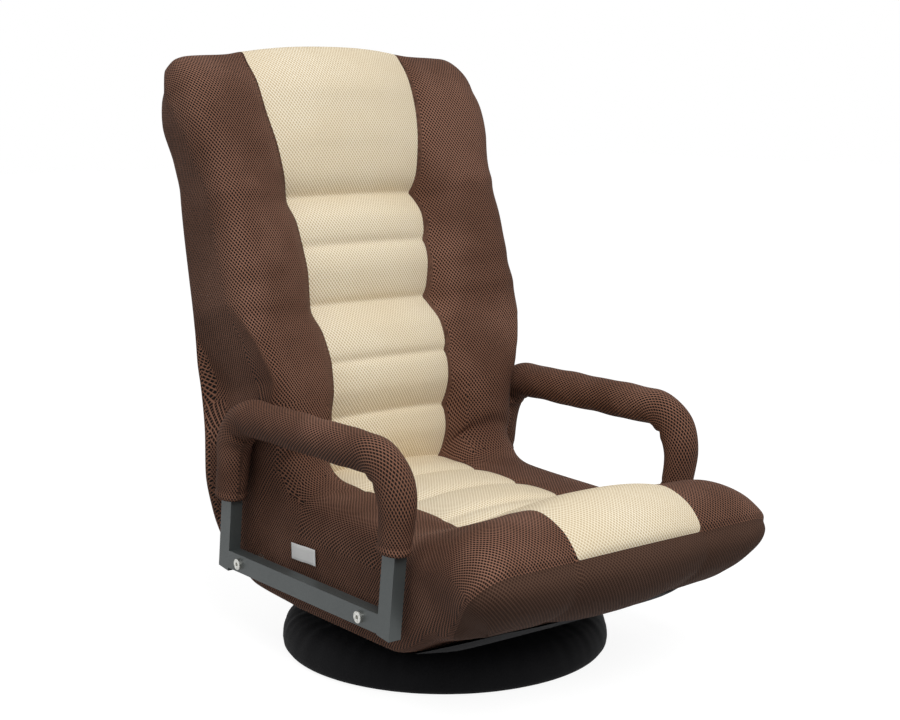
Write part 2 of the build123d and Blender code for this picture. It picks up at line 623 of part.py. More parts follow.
# The backrest frame, drawn upright with the hinge at the origin
def back_frame():
    side = BACK_UPRIGHT_CENTRE
    y = BACK_TUBE_OFFSET
    corners = [(-side, y, BACK_FRAME_BOTTOM), (-side, y, BACK_FRAME_TOP), (side, y, BACK_FRAME_TOP),
               (side, y, BACK_FRAME_BOTTOM)]
    path = FilletPolyline(*corners, radius=BACK_FRAME_BEND)
    frame = sweep(Plane(origin=path @ 0, z_dir=path % 0) * Circle(BACK_TUBE / 2), path=path)
    for height in BACK_CROSS_HEIGHTS:
        frame += rod_x(-side, side, y, height, BACK_TUBE / 2 - WALL)
    return frame


def back_straps():
    """Flat elastic straps across the front of the uprights."""
    reach = BACK_UPRIGHT_CENTRE + BACK_TUBE / 2
    half = STRAP_WIDTH / 2
    rear = BACK_STRAP_FRONT + STRAP_THICKNESS
    straps = [block(-reach, reach, BACK_STRAP_FRONT, rear, z - half, z + half) for z in BACK_STRAP_HEIGHTS]
    return [BACK_FRAME_PLACE * strap for strap in straps]


# The upholstery
def cushion_section(half_width, low, high, edge):
    """A closed cushion outline with rounded corners, bulged sides and a crowned high side."""
    low_edge = min(edge, LOW_EDGE_LIMIT * (high - low))
    corner = edge * (1 - math.sqrt(0.5))
    low_corner = low_edge * (1 - math.sqrt(0.5))
    w = half_width
    flat = w - low_edge
    top = w - edge
    return make_face(Curve() + [
        Line((-flat, low), (flat, low)),
        ThreePointArc((flat, low), (w - low_corner, low + low_corner), (w, low + low_edge)),
        arc_through((w, low + low_edge), (w, high - edge), -SIDE_BULGE),
        ThreePointArc((w, high - edge), (w - corner, high - corner), (top, high)),
        arc_through((top, high), (-top, high), -CROWN),
        ThreePointArc((-top, high), (-w + corner, high - corner), (-w, high - edge)),
        arc_through((-w, high - edge), (-w, low + low_edge), -SIDE_BULGE),
        ThreePointArc((-w, low + low_edge), (-w + low_corner, low + low_corner), (-flat, low)),
    ])


def seat_form():
    """The seat's outer form, lofted from the hinge forward to the rolled nose."""
    thickness = SEAT_NOSE_TOP - SEAT_BOTTOM
    nose_length = ARM_FOOT_FRONT - SEAT_FRONT
    start_y = ARM_FOOT_FRONT - NOSE_START_SHARE * nose_length
    rise = UNDERSIDE_RISE_SHARE * thickness
    stations = [
        (HINGE_Y + JOINT_ROUND + SOFT_GAP, SEAT_HALF_WIDTH, SEAT_BOTTOM, SEAT_REAR_TOP, CUSHION_EDGE),
        (SEAT_PANEL_REAR, SEAT_HALF_WIDTH, SEAT_BOTTOM, SEAT_REAR_TOP, CUSHION_EDGE),
        (SEAT_VALLEY_Y, SEAT_HALF_WIDTH, SEAT_BOTTOM, SEAT_VALLEY, CUSHION_EDGE),
        (start_y, SEAT_HALF_WIDTH, SEAT_BOTTOM + rise, SEAT_NOSE_TOP - rise, CUSHION_EDGE),
    ]
    for along, lift, fall, draw, edge in NOSE_SECTIONS:
        y = ARM_FOOT_FRONT - along * nose_length
        half_width = NOSE_HALF_WIDTH - draw * CUSHION_EDGE
        low = SEAT_BOTTOM + lift * thickness
        stations.append((y, half_width, low, SEAT_NOSE_TOP - fall * thickness, edge * CUSHION_EDGE))
    sections = []
    for y, half_width, low, high, edge in stations:
        place = Plane(origin=(0, y, 0), x_dir=(1, 0, 0), z_dir=(0, -1, 0))
        sections.append(place * cushion_section(half_width, low, high, edge))
    return loft(sections, ruled=True)


def back_room(lower_front, high_front):
    """The space that the backrest's front needs when it stands upright, seen from the side."""
    reach = CROWN + SOFT_GAP
    rear = HINGE_Y + 2 * HINGE_CAVITY_RADIUS
    top = HINGE_Z + LUMBAR_HEIGHT + CUSHION_EDGE
    return outline_of([
        (HINGE_Y - JOINT_ROUND - reach, HINGE_Z),
        (HINGE_Y - lower_front - reach, HINGE_Z + BACK_LOWER_HEIGHT),
        (HINGE_Y - high_front - reach, HINGE_Z + LUMBAR_HEIGHT),
        (HINGE_Y - high_front - reach, top),
        (rear, top),
        (rear, HINGE_Z),
    ])


def seat_cushion():
    reach = NOSE_HALF_WIDTH + CUSHION_EDGE
    low = SEAT_BOTTOM - CUSHION_EDGE
    high = SEAT_NOSE_TOP + CUSHION_EDGE
    rear = HINGE_Y + 2 * HINGE_CAVITY_RADIUS
    pocket = SEAT_POCKET_HALF_WIDTH
    cheek = rod_x(-reach, reach, HINGE_Y, HINGE_Z, JOINT_ROUND + SOFT_GAP)
    seat = seat_form()
    panel = PANEL_HALF_WIDTH
    for side in SIDES.values():
        room = side_slab(back_room(BACK_LOWER_FRONT, LUMBAR_FRONT), side * panel, side * reach)
        seat -= room - cheek
    seat -= side_slab(back_room(JOINT_ROUND, JOINT_ROUND), -panel, panel) - cheek
    seat -= block(-reach, reach, HINGE_Y, rear, low, HINGE_Z) - cheek
    seat -= rod_x(-pocket, pocket, HINGE_Y, HINGE_Z, HINGE_CAVITY_RADIUS)
    seat -= block(-pocket, pocket, SEAT_POCKET_FRONT, rear, low, SEAT_POCKET_TOP)
    seat -= block(-panel, panel, SEAT_FRONT - CUSHION_EDGE, rear, SEAT_PANEL_FLOOR, high)
    for side in SIDES.values():
        seat -= bolt_holes(side * pocket, side * reach, SPACER_DIAMETER / 2 + FIT_GAP)
    return seat


def channelled_profile(seams, heights, crowns, share, floor):
    """A padded panel seen from its edge: one arc per channel between sewn seams."""
    points = list(zip(seams, heights))
    edges = [arc_through(a, b, crown * share) for a, b, crown in zip(points, points[1:], crowns)]
    corners = [points[-1], (seams[-1], floor), (seams[0], floor), points[0]]
    edges += [Line(a, b) for a, b in zip(corners, corners[1:])]
    return make_face(Curve() + edges)


def panel_loft(seams, heights, crowns, floor, forward, across):
    """Lofts a panel across the chair: flatter at its sewn edges, fullest in the middle."""
    reach = PANEL_HALF_WIDTH - FIT_GAP
    shares = (PANEL_EDGE_SHARE, PANEL_MIDDLE_SHARE, 1.0, PANEL_MIDDLE_SHARE, PANEL_EDGE_SHARE)
    places = (-reach, -PANEL_MIDDLE_PLACE * reach, 0.0, PANEL_MIDDLE_PLACE * reach, reach)
    sections = []
    for x, share in zip(places, shares):
        place = Plane(origin=(x, 0, 0), x_dir=forward, z_dir=across)
        sections.append(place * channelled_profile(seams, heights, crowns, share, floor))
    return loft(sections, ruled=True)


def seat_panel():
    """The pale panel down the middle of the seat, drawn as (distance forward, height)."""
    seams = [i * SEAT_CHANNEL_PITCH - SEAT_SEAM_Y for i in range(SEAT_CHANNEL_COUNT + 1)]
    seams = [-SEAT_PANEL_REAR] + seams + [-SEAT_VALLEY_Y]
    fall = SEAT_REAR_RISE / (seams[-1] - seams[0])
    heights = [SEAT_REAR_TOP - fall * (seam - seams[0]) for seam in seams]
    crowns = [SEAT_CHANNEL_CROWN] * (SEAT_CHANNEL_COUNT + 1)
    crowns += [VALLEY_CROWN, NOSE_SLOPE_CROWN, NOSE_ROLL_CROWN]
    seams += [-SEAT_FRONT - NOSE_CREST_BEHIND_FRONT, -SEAT_FRONT - NOSE_SEAM_SET_BACK]
    heights += [SEAT_NOSE_TOP + NOSE_CREST_RISE, SEAT_NOSE_TOP - NOSE_SEAM_DROP]
    return panel_loft(seams, heights, crowns, SEAT_PANEL_FLOOR, (0, -1, 0), (-1, 0, 0))


def back_stations():
    """Sections up the backrest: height, half width, rear half width, front, rear, dip and edge."""
    lower = BACK_LOWER_HALF_WIDTH
    upper = BACK_UPPER_HALF_WIDTH
    head = HEAD_HALF_WIDTH
    flared = lower + BACK_REAR_FLARE
    lumbar = lower + LUMBAR_FLARE
    neck = (upper + head) / 2
    share = (ARM_CLEAR_HEIGHT - BACK_LOWER_HEIGHT) / (LUMBAR_HEIGHT - BACK_LOWER_HEIGHT)
    clear_front = BACK_LOWER_FRONT + share * (LUMBAR_FRONT - BACK_LOWER_FRONT)
    clear_rear = BACK_LOWER_REAR + share * (LUMBAR_REAR - BACK_LOWER_REAR)
    places = [
        (BACK_LOWER_HEIGHT, lower, flared, BACK_LOWER_FRONT, BACK_LOWER_REAR),
        (ARM_CLEAR_HEIGHT, lower, flared, clear_front, clear_rear),
        (LUMBAR_HEIGHT, lumbar, flared, LUMBAR_FRONT, LUMBAR_REAR),
        (WAIST_HEIGHT, upper, upper, WAIST_FRONT, WAIST_REAR),
        (RIB_HEIGHT, upper, upper, RIB_FRONT, RIB_REAR),
        (SHOULDER_HEIGHT, upper, upper, SHOULDER_FRONT, SHOULDER_REAR),
        (NECK_HEIGHT, neck, neck, NECK_FRONT, NECK_REAR),
        (HEAD_HEIGHT, head, head, HEAD_FRONT, HEAD_REAR),
    ]
    stations = [(0.0, lower, lower, JOINT_ROUND, JOINT_ROUND, CROWN, CUSHION_EDGE)]
    stations += [(*place, dip, CUSHION_EDGE) for place, dip in zip(places, BOLSTER_DIPS)]
    for drop, draw, front, rear, edge in CREST_SECTIONS:
        height = BACK_TOP - drop * CUSHION_EDGE
        half_width = head - draw * CUSHION_EDGE
        rear_place = rear * HEAD_FRONT / 2
        front_place = front * HEAD_FRONT
        stations.append((height, half_width, half_width, front_place, rear_place, CROWN, edge * CUSHION_EDGE))
    return stations


def back_section(half_width, rear_half_width, front, rear, dip, edge):
    """A backrest outline seen from above: full bolsters that dip to the panel, and a flared rear."""
    w = half_width
    wr = rear_half_width
    low = -rear
    low_edge = min(edge, LOW_EDGE_LIMIT * (front - low))
    corner = edge * (1 - math.sqrt(0.5))
    low_corner = low_edge * (1 - math.sqrt(0.5))
    flat = wr - low_edge
    top = w - edge
    panel = BOLSTER_DIP_PLACE * PANEL_HALF_WIDTH
    side = w + SIDE_BULGE
    knee = low + low_edge + BACK_REAR_FLARE_START * (front - edge - low - low_edge)
    return make_face(Curve() + [
        Line((-flat, low), (flat, low)),
        ThreePointArc((flat, low), (wr - low_corner, low + low_corner), (wr, low + low_edge)),
        Line((wr, low + low_edge), (side, knee)),
        Line((side, knee), (w, front - edge)),
        ThreePointArc((w, front - edge), (w - corner, front - corner), (top, front)),
        Line((top, front), (panel, front - dip)),
        Line((panel, front - dip), (-panel, front - dip)),
        Line((-panel, front - dip), (-top, front)),
        ThreePointArc((-top, front), (-w + corner, front - corner), (-w, front - edge)),
        Line((-w, front - edge), (-side, knee)),
        Line((-side, knee), (-wr, low + low_edge)),
        ThreePointArc((-wr, low + low_edge), (-wr + low_corner, low + low_corner), (-flat, low)),
    ])


def back_form():
    """The backrest's outer form, drawn upright with the hinge at the origin."""
    sections = []
    for z, *outline in back_stations():
        place = Plane(origin=(0, 0, z), x_dir=(-1, 0, 0), z_dir=(0, 0, 1))
        sections.append(place * back_section(*outline))
    return loft(sections, ruled=True)


def rear_sheet(half_width, inset, proud, margin):
    """A sheet that follows the backrest's rear from its lower bulge up to the head."""
    stations = back_stations()
    places = [(place[4], place[0]) for place in stations if BACK_LOWER_HEIGHT <= place[0] <= HEAD_HEIGHT]
    low = (places[0][0], places[0][1] - margin)
    high = (places[-1][0], places[-1][1] + margin)
    places = [low] + places[1:-1] + [high]
    outer = [(rear + proud, z) for rear, z in places]
    inner = [(rear - inset, z) for rear, z in places]
    return side_slab(outline_of(outer + inner[::-1]), -half_width, half_width)


def back_cushion():
    cavity = HINGE_CAVITY_INNER
    reach = HEAD_HALF_WIDTH + CUSHION_EDGE
    span = 2 * HINGE_CAVITY_RADIUS
    panel = PANEL_HALF_WIDTH
    pocket = BACK_POCKET_HALF_WIDTH
    pocket_top = BACK_FRAME_TOP + BACK_TUBE
    roll = rod_x(-cavity, cavity, 0, 0, JOINT_ROUND)
    roll -= block(-cavity, cavity, -span, span, 0, span)
    back = back_form() + roll
    for side in SIDES.values():
        back -= rod_x(side * cavity, side * reach, 0, 0, HINGE_CAVITY_RADIUS)
    back -= block(-panel, panel, -2 * span, -JOINT_ROUND, 0, BACK_CHANNELS[0])
    back -= block(-panel, panel, -2 * span, -BACK_PANEL_FLOOR, BACK_CHANNELS[0], BACK_TOP + CUSHION_EDGE)
    back -= Rot(X=BACK_FRAME_TILT) * block(-pocket, pocket, BACK_POCKET_FRONT, BACK_POCKET_REAR,
                                           BACK_POCKET_START, pocket_top)
    back -= rear_sheet(pocket, BACK_COVER + FIT_GAP, SOFT_GAP, FIT_GAP)
    return BACK_PLACE * back


def back_panel():
    """The pale panel down the middle of the backrest, drawn as (height, distance forward)."""
    panel = panel_loft(BACK_CHANNELS, BACK_CHANNEL_FRONTS, BACK_CHANNEL_CROWNS, BACK_PANEL_FLOOR,
                       (0, 0, 1), (1, 0, 0))
    return BACK_PLACE * panel


def back_rear_cover():
    """The cloth sewn over the backrest's rear."""
    return BACK_PLACE * rear_sheet(BACK_POCKET_HALF_WIDTH - FIT_GAP, BACK_COVER, 0.0, 0.0)


def dust_cover():
    """Black cloth under the seat, with a round hole for the swivel."""
    pocket = SEAT_POCKET_HALF_WIDTH - FIT_GAP
    front = SEAT_POCKET_FRONT + FIT_GAP
    bend = ARM_FOOT_FRONT
    low = DUST_COVER_BOTTOM
    high = DUST_COVER_TOP
    profile = outline_of([
        (RAIL_REAR, low),
        (bend, low),
        (front, low + DUST_COVER_RISE),
        (front, high + DUST_COVER_RISE),
        (bend, high),
        (RAIL_REAR, high),
    ])
    hole = rod_z(0, 0, low, high, PLATE_RADIUS + DUST_COVER_HOLE_GAP)
    return side_slab(profile, -pocket, pocket) - hole


def side_tag():
    """A blank white label on the right-hand side of the seat."""
    face = -SEAT_HALF_WIDTH - SIDE_BULGE - FIT_GAP
    low = RAIL_CENTRE_HEIGHT + TAG_RISE - TAG_HEIGHT / 2
    rear = TAG_CENTRE_Y + TAG_LENGTH / 2
    return block(face - TAG_THICKNESS, face, rear - TAG_LENGTH, rear, low, low + TAG_HEIGHT)


os.makedirs("parts", exist_ok=True)
save("base_ring", base_ring())
save("base_bars", base_bars())
save("base_pedestal", base_pedestal())
save("base_cover", base_cover())
save("swivel_lower_plate", swivel_lower_plate())
save("swivel_balls", *swivel_balls())
save("swivel_cage", swivel_cage())
save("swivel_pivot", swivel_pivot())
save("swivel_screws", *swivel_screws())
save("swivel_upper_plate", swivel_plate(UPPER_PLATE_BOTTOM, PIVOT_DIAMETER / 2 + RUNNING_CLEARANCE))
save("swivel_bearers", *swivel_bearers())
save("seat_front_tube", cross_tube(RAIL_FRONT + TUBE / 2))
save("seat_rear_tube", cross_tube(REAR_TUBE_CENTRE))
save("seat_straps", *seat_straps())
save("seat_cushion", seat_cushion())
save("seat_centre_panel", seat_panel())
save("seat_dust_cover", dust_cover())
save("side_tag", side_tag())
save("back_frame", BACK_FRAME_PLACE * back_frame())
save("back_straps", *back_straps())
save("back_cushion", back_cushion())
save("back_centre_panel", back_panel())
save("back_rear_cover", back_rear_cover())
for name, side in SIDES.items():
    save("seat_rail_" + name, seat_rail(side))
    save("arm_frame_" + name, arm_frame(side))
    save("arm_pad_" + name, arm_pad(side))
    save("arm_bolts_" + name, *arm_bolts(side))
    save("arm_spacers_" + name, *arm_spacers(side))
    save("arm_nuts_" + name, *arm_nuts(side))
    save("hinge_plate_" + name, hinge_plate(side))
    save("hinge_arm_" + name, hinge_arm(side))
    save("hinge_pin_" + name, hinge_pin(side))
    save("ratchet_pawl_" + name, pawl(side))
    save("pawl_pin_" + name, pawl_pin(side))
    save("pawl_spring_" + name, pawl_spring(side))
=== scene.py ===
import json
import math
import bpy
import numpy as np
from mathutils import Matrix, Vector


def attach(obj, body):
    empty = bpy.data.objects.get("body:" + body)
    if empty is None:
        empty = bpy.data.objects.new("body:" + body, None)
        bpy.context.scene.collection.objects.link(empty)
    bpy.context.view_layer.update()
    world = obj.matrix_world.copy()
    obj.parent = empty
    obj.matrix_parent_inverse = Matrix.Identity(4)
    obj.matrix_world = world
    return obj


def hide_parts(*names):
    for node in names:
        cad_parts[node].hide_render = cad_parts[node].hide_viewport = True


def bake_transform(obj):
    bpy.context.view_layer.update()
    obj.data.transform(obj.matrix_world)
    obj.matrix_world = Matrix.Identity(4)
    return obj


# Swivel floor chair: looks, upholstery and studio. Lengths are in millimetres until a mesh is made.
MM = 0.001
HINGE = (165.0, 129.7)
LEAN = math.radians(15)
SIDES = {"left": 1, "right": -1}

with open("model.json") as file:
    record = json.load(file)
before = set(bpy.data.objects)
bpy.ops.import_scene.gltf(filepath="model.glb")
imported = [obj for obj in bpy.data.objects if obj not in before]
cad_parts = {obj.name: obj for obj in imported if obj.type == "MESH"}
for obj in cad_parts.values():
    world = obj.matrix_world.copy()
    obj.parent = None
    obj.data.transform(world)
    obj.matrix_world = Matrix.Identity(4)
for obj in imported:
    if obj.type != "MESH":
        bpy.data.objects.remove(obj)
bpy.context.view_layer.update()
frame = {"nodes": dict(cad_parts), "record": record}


# Small helpers
def back_point(up, front):
    """A point of the backrest, up from the hinge and forward of it, as (y, z)."""
    y = HINGE[0] + up * math.sin(LEAN) - front * math.cos(LEAN)
    z = HINGE[1] + up * math.cos(LEAN) + front * math.sin(LEAN)
    return (y, z)


def hinge_point(radius, degrees):
    """A point round the hinge, as (y, z), with 0 degrees to the rear and 90 upward."""
    angle = math.radians(degrees)
    return (HINGE[0] + radius * math.cos(angle), HINGE[1] + radius * math.sin(angle))


def smooth_through(knots, values, at):
    """A line through values that never overshoots them."""
    knots = np.asarray(knots, float)
    values = np.asarray(values, float)
    at = np.asarray(at, float)
    flat = values.reshape(len(knots), -1)
    step = np.diff(knots)
    slope = np.diff(flat, axis=0) / step[:, None]
    lean = np.zeros_like(flat)
    lean[0] = slope[0]
    lean[-1] = slope[-1]
    for i in range(1, len(knots) - 1):
        before, after = slope[i - 1], slope[i]
        same = before * after > 0
        near = 2 * step[i] + step[i - 1]
        far = step[i] + 2 * step[i - 1]
        safe_before = np.where(same, before, 1)
        safe_after = np.where(same, after, 1)
        lean[i] = np.where(same, (near + far) / (near / safe_before + far / safe_after), 0)
    place = np.clip(np.searchsorted(knots, at, side="right") - 1, 0, len(knots) - 2)
    width = step[place][:, None]
    share = ((at - knots[place]) / step[place])[:, None]
    start, end = flat[place], flat[place + 1]
    found = (start * (1 + 2 * share) * (1 - share) ** 2 + end * share ** 2 * (3 - 2 * share)
             + lean[place] * width * share * (1 - share) ** 2
             + lean[place + 1] * width * share ** 2 * (share - 1))
    return found.reshape((len(at),) + values.shape[1:])


def mesh_object(name, points, faces, uvs=None, smooth=True):
    """A mesh from points in millimetres, with one UV pair a point."""
    mesh = bpy.data.meshes.new(name)
    mesh.from_pydata([tuple(MM * float(v) for v in p) for p in points], [], faces)
    mesh.update()
    if uvs is not None:
        layer = mesh.uv_layers.new(name="cloth")
        for loop in mesh.loops:
            layer.data[loop.index].uv = [MM * float(v) for v in uvs[loop.vertex_index]]
    for polygon in mesh.polygons:
        polygon.use_smooth = smooth
    obj = bpy.data.objects.new(name, mesh)
    bpy.context.scene.collection.objects.link(obj)
    return obj


def ring_face(row, column, around):
    """The corners of one face between two rows of points that close round."""
    after = (column + 1) % around
    low = row * around
    high = low + around
    return (low + column, low + after, high + after, high + column)


def ring_faces(row_total, around):
    return [ring_face(i, k, around) for i in range(row_total - 1) for k in range(around)]


def strip_faces(row_total, across):
    """Faces between rows of points that stay open at their ends."""
    starts = [i * across + k for i in range(row_total - 1) for k in range(across - 1)]
    return [(a, a + 1, a + across + 1, a + across) for a in starts]


def turned_over(made):
    return [(a, d, c, b) for a, b, c, d in made]


def apply_modifiers(obj):
    """Leaves the object with the mesh that its modifiers give."""
    graph = bpy.context.evaluated_depsgraph_get()
    shown = obj.evaluated_get(graph)
    made = bpy.data.meshes.new_from_object(shown, preserve_all_data_layers=True, depsgraph=graph)
    old = obj.data
    obj.modifiers.clear()
    obj.data = made
    bpy.data.meshes.remove(old)


def subdivide(obj, levels):
    modifier = obj.modifiers.new("finer", "SUBSURF")
    modifier.levels = levels
    modifier.render_levels = levels
    apply_modifiers(obj)


# Materials
class Nodes:
    """A short way to write a material's nodes."""

    def __init__(self, name):
        self.material = bpy.data.materials.new(name)
        self.material.use_nodes = True
        self.tree = self.material.node_tree
        self.shader = self.tree.nodes["Principled BSDF"]
        self.output = self.tree.nodes["Material Output"]

    def add(self, kind, inputs=None, **settings):
        node = self.tree.nodes.new(kind)
        for key, value in settings.items():
            setattr(node, key, value)
        for key, value in (inputs or {}).items():
            self.put(node.inputs[key], value)
        return node

    def put(self, socket, value):
        if isinstance(value, bpy.types.NodeSocket):
            self.tree.links.new(value, socket)
        else:
            socket.default_value = value

    def math(self, operation, *values):
        node = self.add("ShaderNodeMath", operation=operation)
        for i, value in enumerate(values):
            self.put(node.inputs[i], value)
        return node.outputs[0]

    def vector(self, operation, inputs):
        return self.add("ShaderNodeVectorMath", inputs, operation=operation).outputs["Vector"]

    def span(self, value, low, high, start=0.0, end=1.0):
        inputs = {"Value": value, "From Min": low, "From Max": high, "To Min": start, "To Max": end}
        node = self.add("ShaderNodeMapRange", inputs, interpolation_type="SMOOTHSTEP")
        return node.outputs["Result"]

    def mix(self, share, first, second):
        node = self.add("ShaderNodeMix", data_type="RGBA")
        self.put(node.inputs["Factor"], share)
        self.put(node.inputs[6], first)
        self.put(node.inputs[7], second)
        return node.outputs[2]

    def bump(self, height, strength, distance):
        node = self.add("ShaderNodeBump", {"Height": height, "Strength": strength, "Distance": distance})
        return node.outputs["Normal"]

    def noise(self, where, scale, detail=3.0):
        node = self.add("ShaderNodeTexNoise", {"Vector": where, "Scale": scale, "Detail": detail})
        return node.outputs["Fac"]


def linear(red, green, blue):
    """A colour written as on a screen, 0 to 255, as Blender holds it."""
    channels = []
    for value in (red, green, blue):
        share = value / 255
        channels.append(share / 12.92 if share <= 0.04045 else ((share + 0.055) / 1.055) ** 2.4)
    return (*channels, 1.0)


WEAVE_PITCH = 0.0046
WEAVE_ROW = 0.0032
WEAVE_OPEN = 0.33
WEAVE_EDGE = 0.04
CROSS_THREAD = 0.65
WEAVE_DRIFT = 0.0007


def spacer_mesh(name, thread, hole, light, roughness):
    """Knitted spacer mesh: two families of raised diagonal threads with small open holes between them."""
    n = Nodes(name)
    uv = n.add("ShaderNodeUVMap", uv_map="cloth").outputs["UV"]
    where = n.add("ShaderNodeTexCoord").outputs["Object"]
    drift = n.add("ShaderNodeTexNoise", {"Vector": uv, "Scale": 60.0, "Detail": 1.0}).outputs["Color"]
    moved = n.vector("SUBTRACT", {0: drift, 1: (0.5, 0.5, 0.5)})
    moved = n.vector("SCALE", {0: moved, "Scale": WEAVE_DRIFT})
    moved = n.vector("ADD", {0: uv, 1: moved})
    parts = n.add("ShaderNodeSeparateXYZ", {"Vector": moved})
    across = n.math("DIVIDE", parts.outputs["X"], WEAVE_PITCH)
    along = n.math("DIVIDE", parts.outputs["Y"], 2 * WEAVE_ROW)
    gaps = []
    for operation in ("ADD", "SUBTRACT"):
        line = n.math("FRACT", n.math(operation, across, along))
        away = n.math("ABSOLUTE", n.math("SUBTRACT", line, 0.5))
        gaps.append(n.span(away, WEAVE_OPEN - WEAVE_EDGE, WEAVE_OPEN + WEAVE_EDGE, 1.0, 0.0))
    crossed = n.math("MULTIPLY_ADD", gaps[1], CROSS_THREAD, 1 - CROSS_THREAD)
    open_share = n.math("MULTIPLY", gaps[0], crossed)
    fibre = n.noise(where, 900.0, 2.0)
    broad = n.noise(where, 9.0, 3.0)
    worn = n.mix(n.span(broad, 0.35, 0.7), thread, light)
    worn = n.mix(n.math("MULTIPLY", fibre, 0.45), worn, light)
    n.put(n.shader.inputs["Base Color"], n.mix(open_share, worn, hole))
    height = n.math("SUBTRACT", n.math("MULTIPLY", fibre, 0.3), open_share)
    n.put(n.shader.inputs["Normal"], n.bump(height, 0.55, 0.0012))
    n.shader.inputs["Roughness"].default_value = roughness
    n.shader.inputs["Specular IOR Level"].default_value = 0.16
    return n.material


def plain_cloth(name, colour, light, weave, roughness):
    """Flat cloth with a fine pressed texture."""
    n = Nodes(name)
    where = n.add("ShaderNodeTexCoord").outputs["Object"]
    fine = n.add("ShaderNodeTexVoronoi", {"Vector": where, "Scale": weave}).outputs["Distance"]
    broad = n.noise(where, 14.0, 4.0)
    share = n.math("MULTIPLY", n.math("ADD", n.math("MULTIPLY", fine, 0.6), broad), 0.6)
    n.put(n.shader.inputs["Base Color"], n.mix(share, colour, light))
    n.put(n.shader.inputs["Normal"], n.bump(fine, 0.4, 0.0008))
    n.shader.inputs["Roughness"].default_value = roughness
    n.shader.inputs["Specular IOR Level"].default_value = 0.12
    return n.material


def painted_steel(name, colour, light, roughness):
    """Satin powder coat with a fine orange-peel."""
    n = Nodes(name)
    where = n.add("ShaderNodeTexCoord").outputs["Object"]
    peel = n.noise(where, 700.0, 2.0)
    broad = n.noise(where, 22.0, 3.0)
    n.put(n.shader.inputs["Base Color"], n.mix(n.math("MULTIPLY", broad, 0.6), colour, light))
    n.put(n.shader.inputs["Roughness"], n.span(peel, 0.3, 0.7, roughness - 0.05, roughness + 0.08))
    n.put(n.shader.inputs["Normal"], n.bump(peel, 0.12, 0.0005))
    n.shader.inputs["Metallic"].default_value = 0.35
    return n.material


def plated_steel(name, colour, dull, roughness):
    """Plated or bare steel with faint drawing marks."""
    n = Nodes(name)
    where = n.add("ShaderNodeTexCoord").outputs["Object"]
    marks = n.noise(where, 320.0, 4.0)
    n.put(n.shader.inputs["Base Color"], n.mix(n.span(marks, 0.35, 0.75), colour, dull))
    n.put(n.shader.inputs["Roughness"], n.span(marks, 0.3, 0.7, roughness - 0.07, roughness + 0.1))
    n.put(n.shader.inputs["Normal"], n.bump(marks, 0.08, 0.0004))
    n.shader.inputs["Metallic"].default_value = 1.0
    return n.material


BROWN = spacer_mesh("brown_fabric", linear(117, 80, 62), linear(5, 2, 1), linear(150, 109, 90), 0.85)
# The front band's brown, under the nose seam: its thread is darker than the brown's as painted shade where
# the band faces down, and its lighter holes lower the weave's contrast.
BROWN_BAND_PAINTED_SHADE = spacer_mesh("brown_band_painted_shade", linear(84, 60, 48), linear(54, 37, 28), linear(94, 69, 57), 0.9)
CREAM = spacer_mesh("cream_fabric", linear(243, 231, 205), linear(204, 183, 148), linear(250, 241, 219), 0.85)
BLACK = plain_cloth("black_cloth", linear(15, 15, 17), linear(24, 24, 26), 900.0, 0.8)
GREY = painted_steel("grey_paint", linear(72, 77, 77), linear(88, 93, 93), 0.42)
ZINC = plated_steel("zinc", linear(205, 205, 200), linear(160, 160, 155), 0.28)
STEEL = painted_steel("black_steel", linear(30, 31, 32), linear(44, 45, 46), 0.4)
WEBBING = plain_cloth("webbing", linear(38, 38, 40), linear(70, 70, 72), 500.0, 0.8)
LABEL = plain_cloth("label_cloth", linear(246, 246, 244), linear(250, 250, 249), 800.0, 0.7)
CAGE = painted_steel("cage_plastic", linear(196, 194, 186), linear(208, 206, 198), 0.5)
FINISHES = {
    "brown_fabric": BROWN,
    "cream_fabric": CREAM,
    "black_cloth": BLACK,
    "grey_paint": GREY,
    "zinc": ZINC,
    "black_steel": STEEL,
    "webbing": WEBBING,
    "label_cloth": LABEL,
    "cage_plastic": CAGE,
}


# Upholstery: sections from the nose's lower edge over the seat, up the back and over the head.
# Each has the cream's edge, the outer edge under or behind it, the way the bolster rises from
# the cream, in degrees, how far, the cream's and the cover's half widths, and the sizes of the
# shoulder and of the outer corner.
def seat_section(y, top, rise, half_width=211.0, shoulder=40.0, cream=98.0, lift=90.0):
    return ((y, top), (y, 69.0), lift, rise, cream, half_width, half_width, shoulder, 12.0)


def back_section(up, front, rear_up, rear, rise, cream, half_width, rear_half, shoulder=36.0, lift=165.0):
    rear_place = back_point(rear_up, rear)
    return (back_point(up, front), rear_place, lift, rise, cream, half_width, rear_half, shoulder, 26.0)


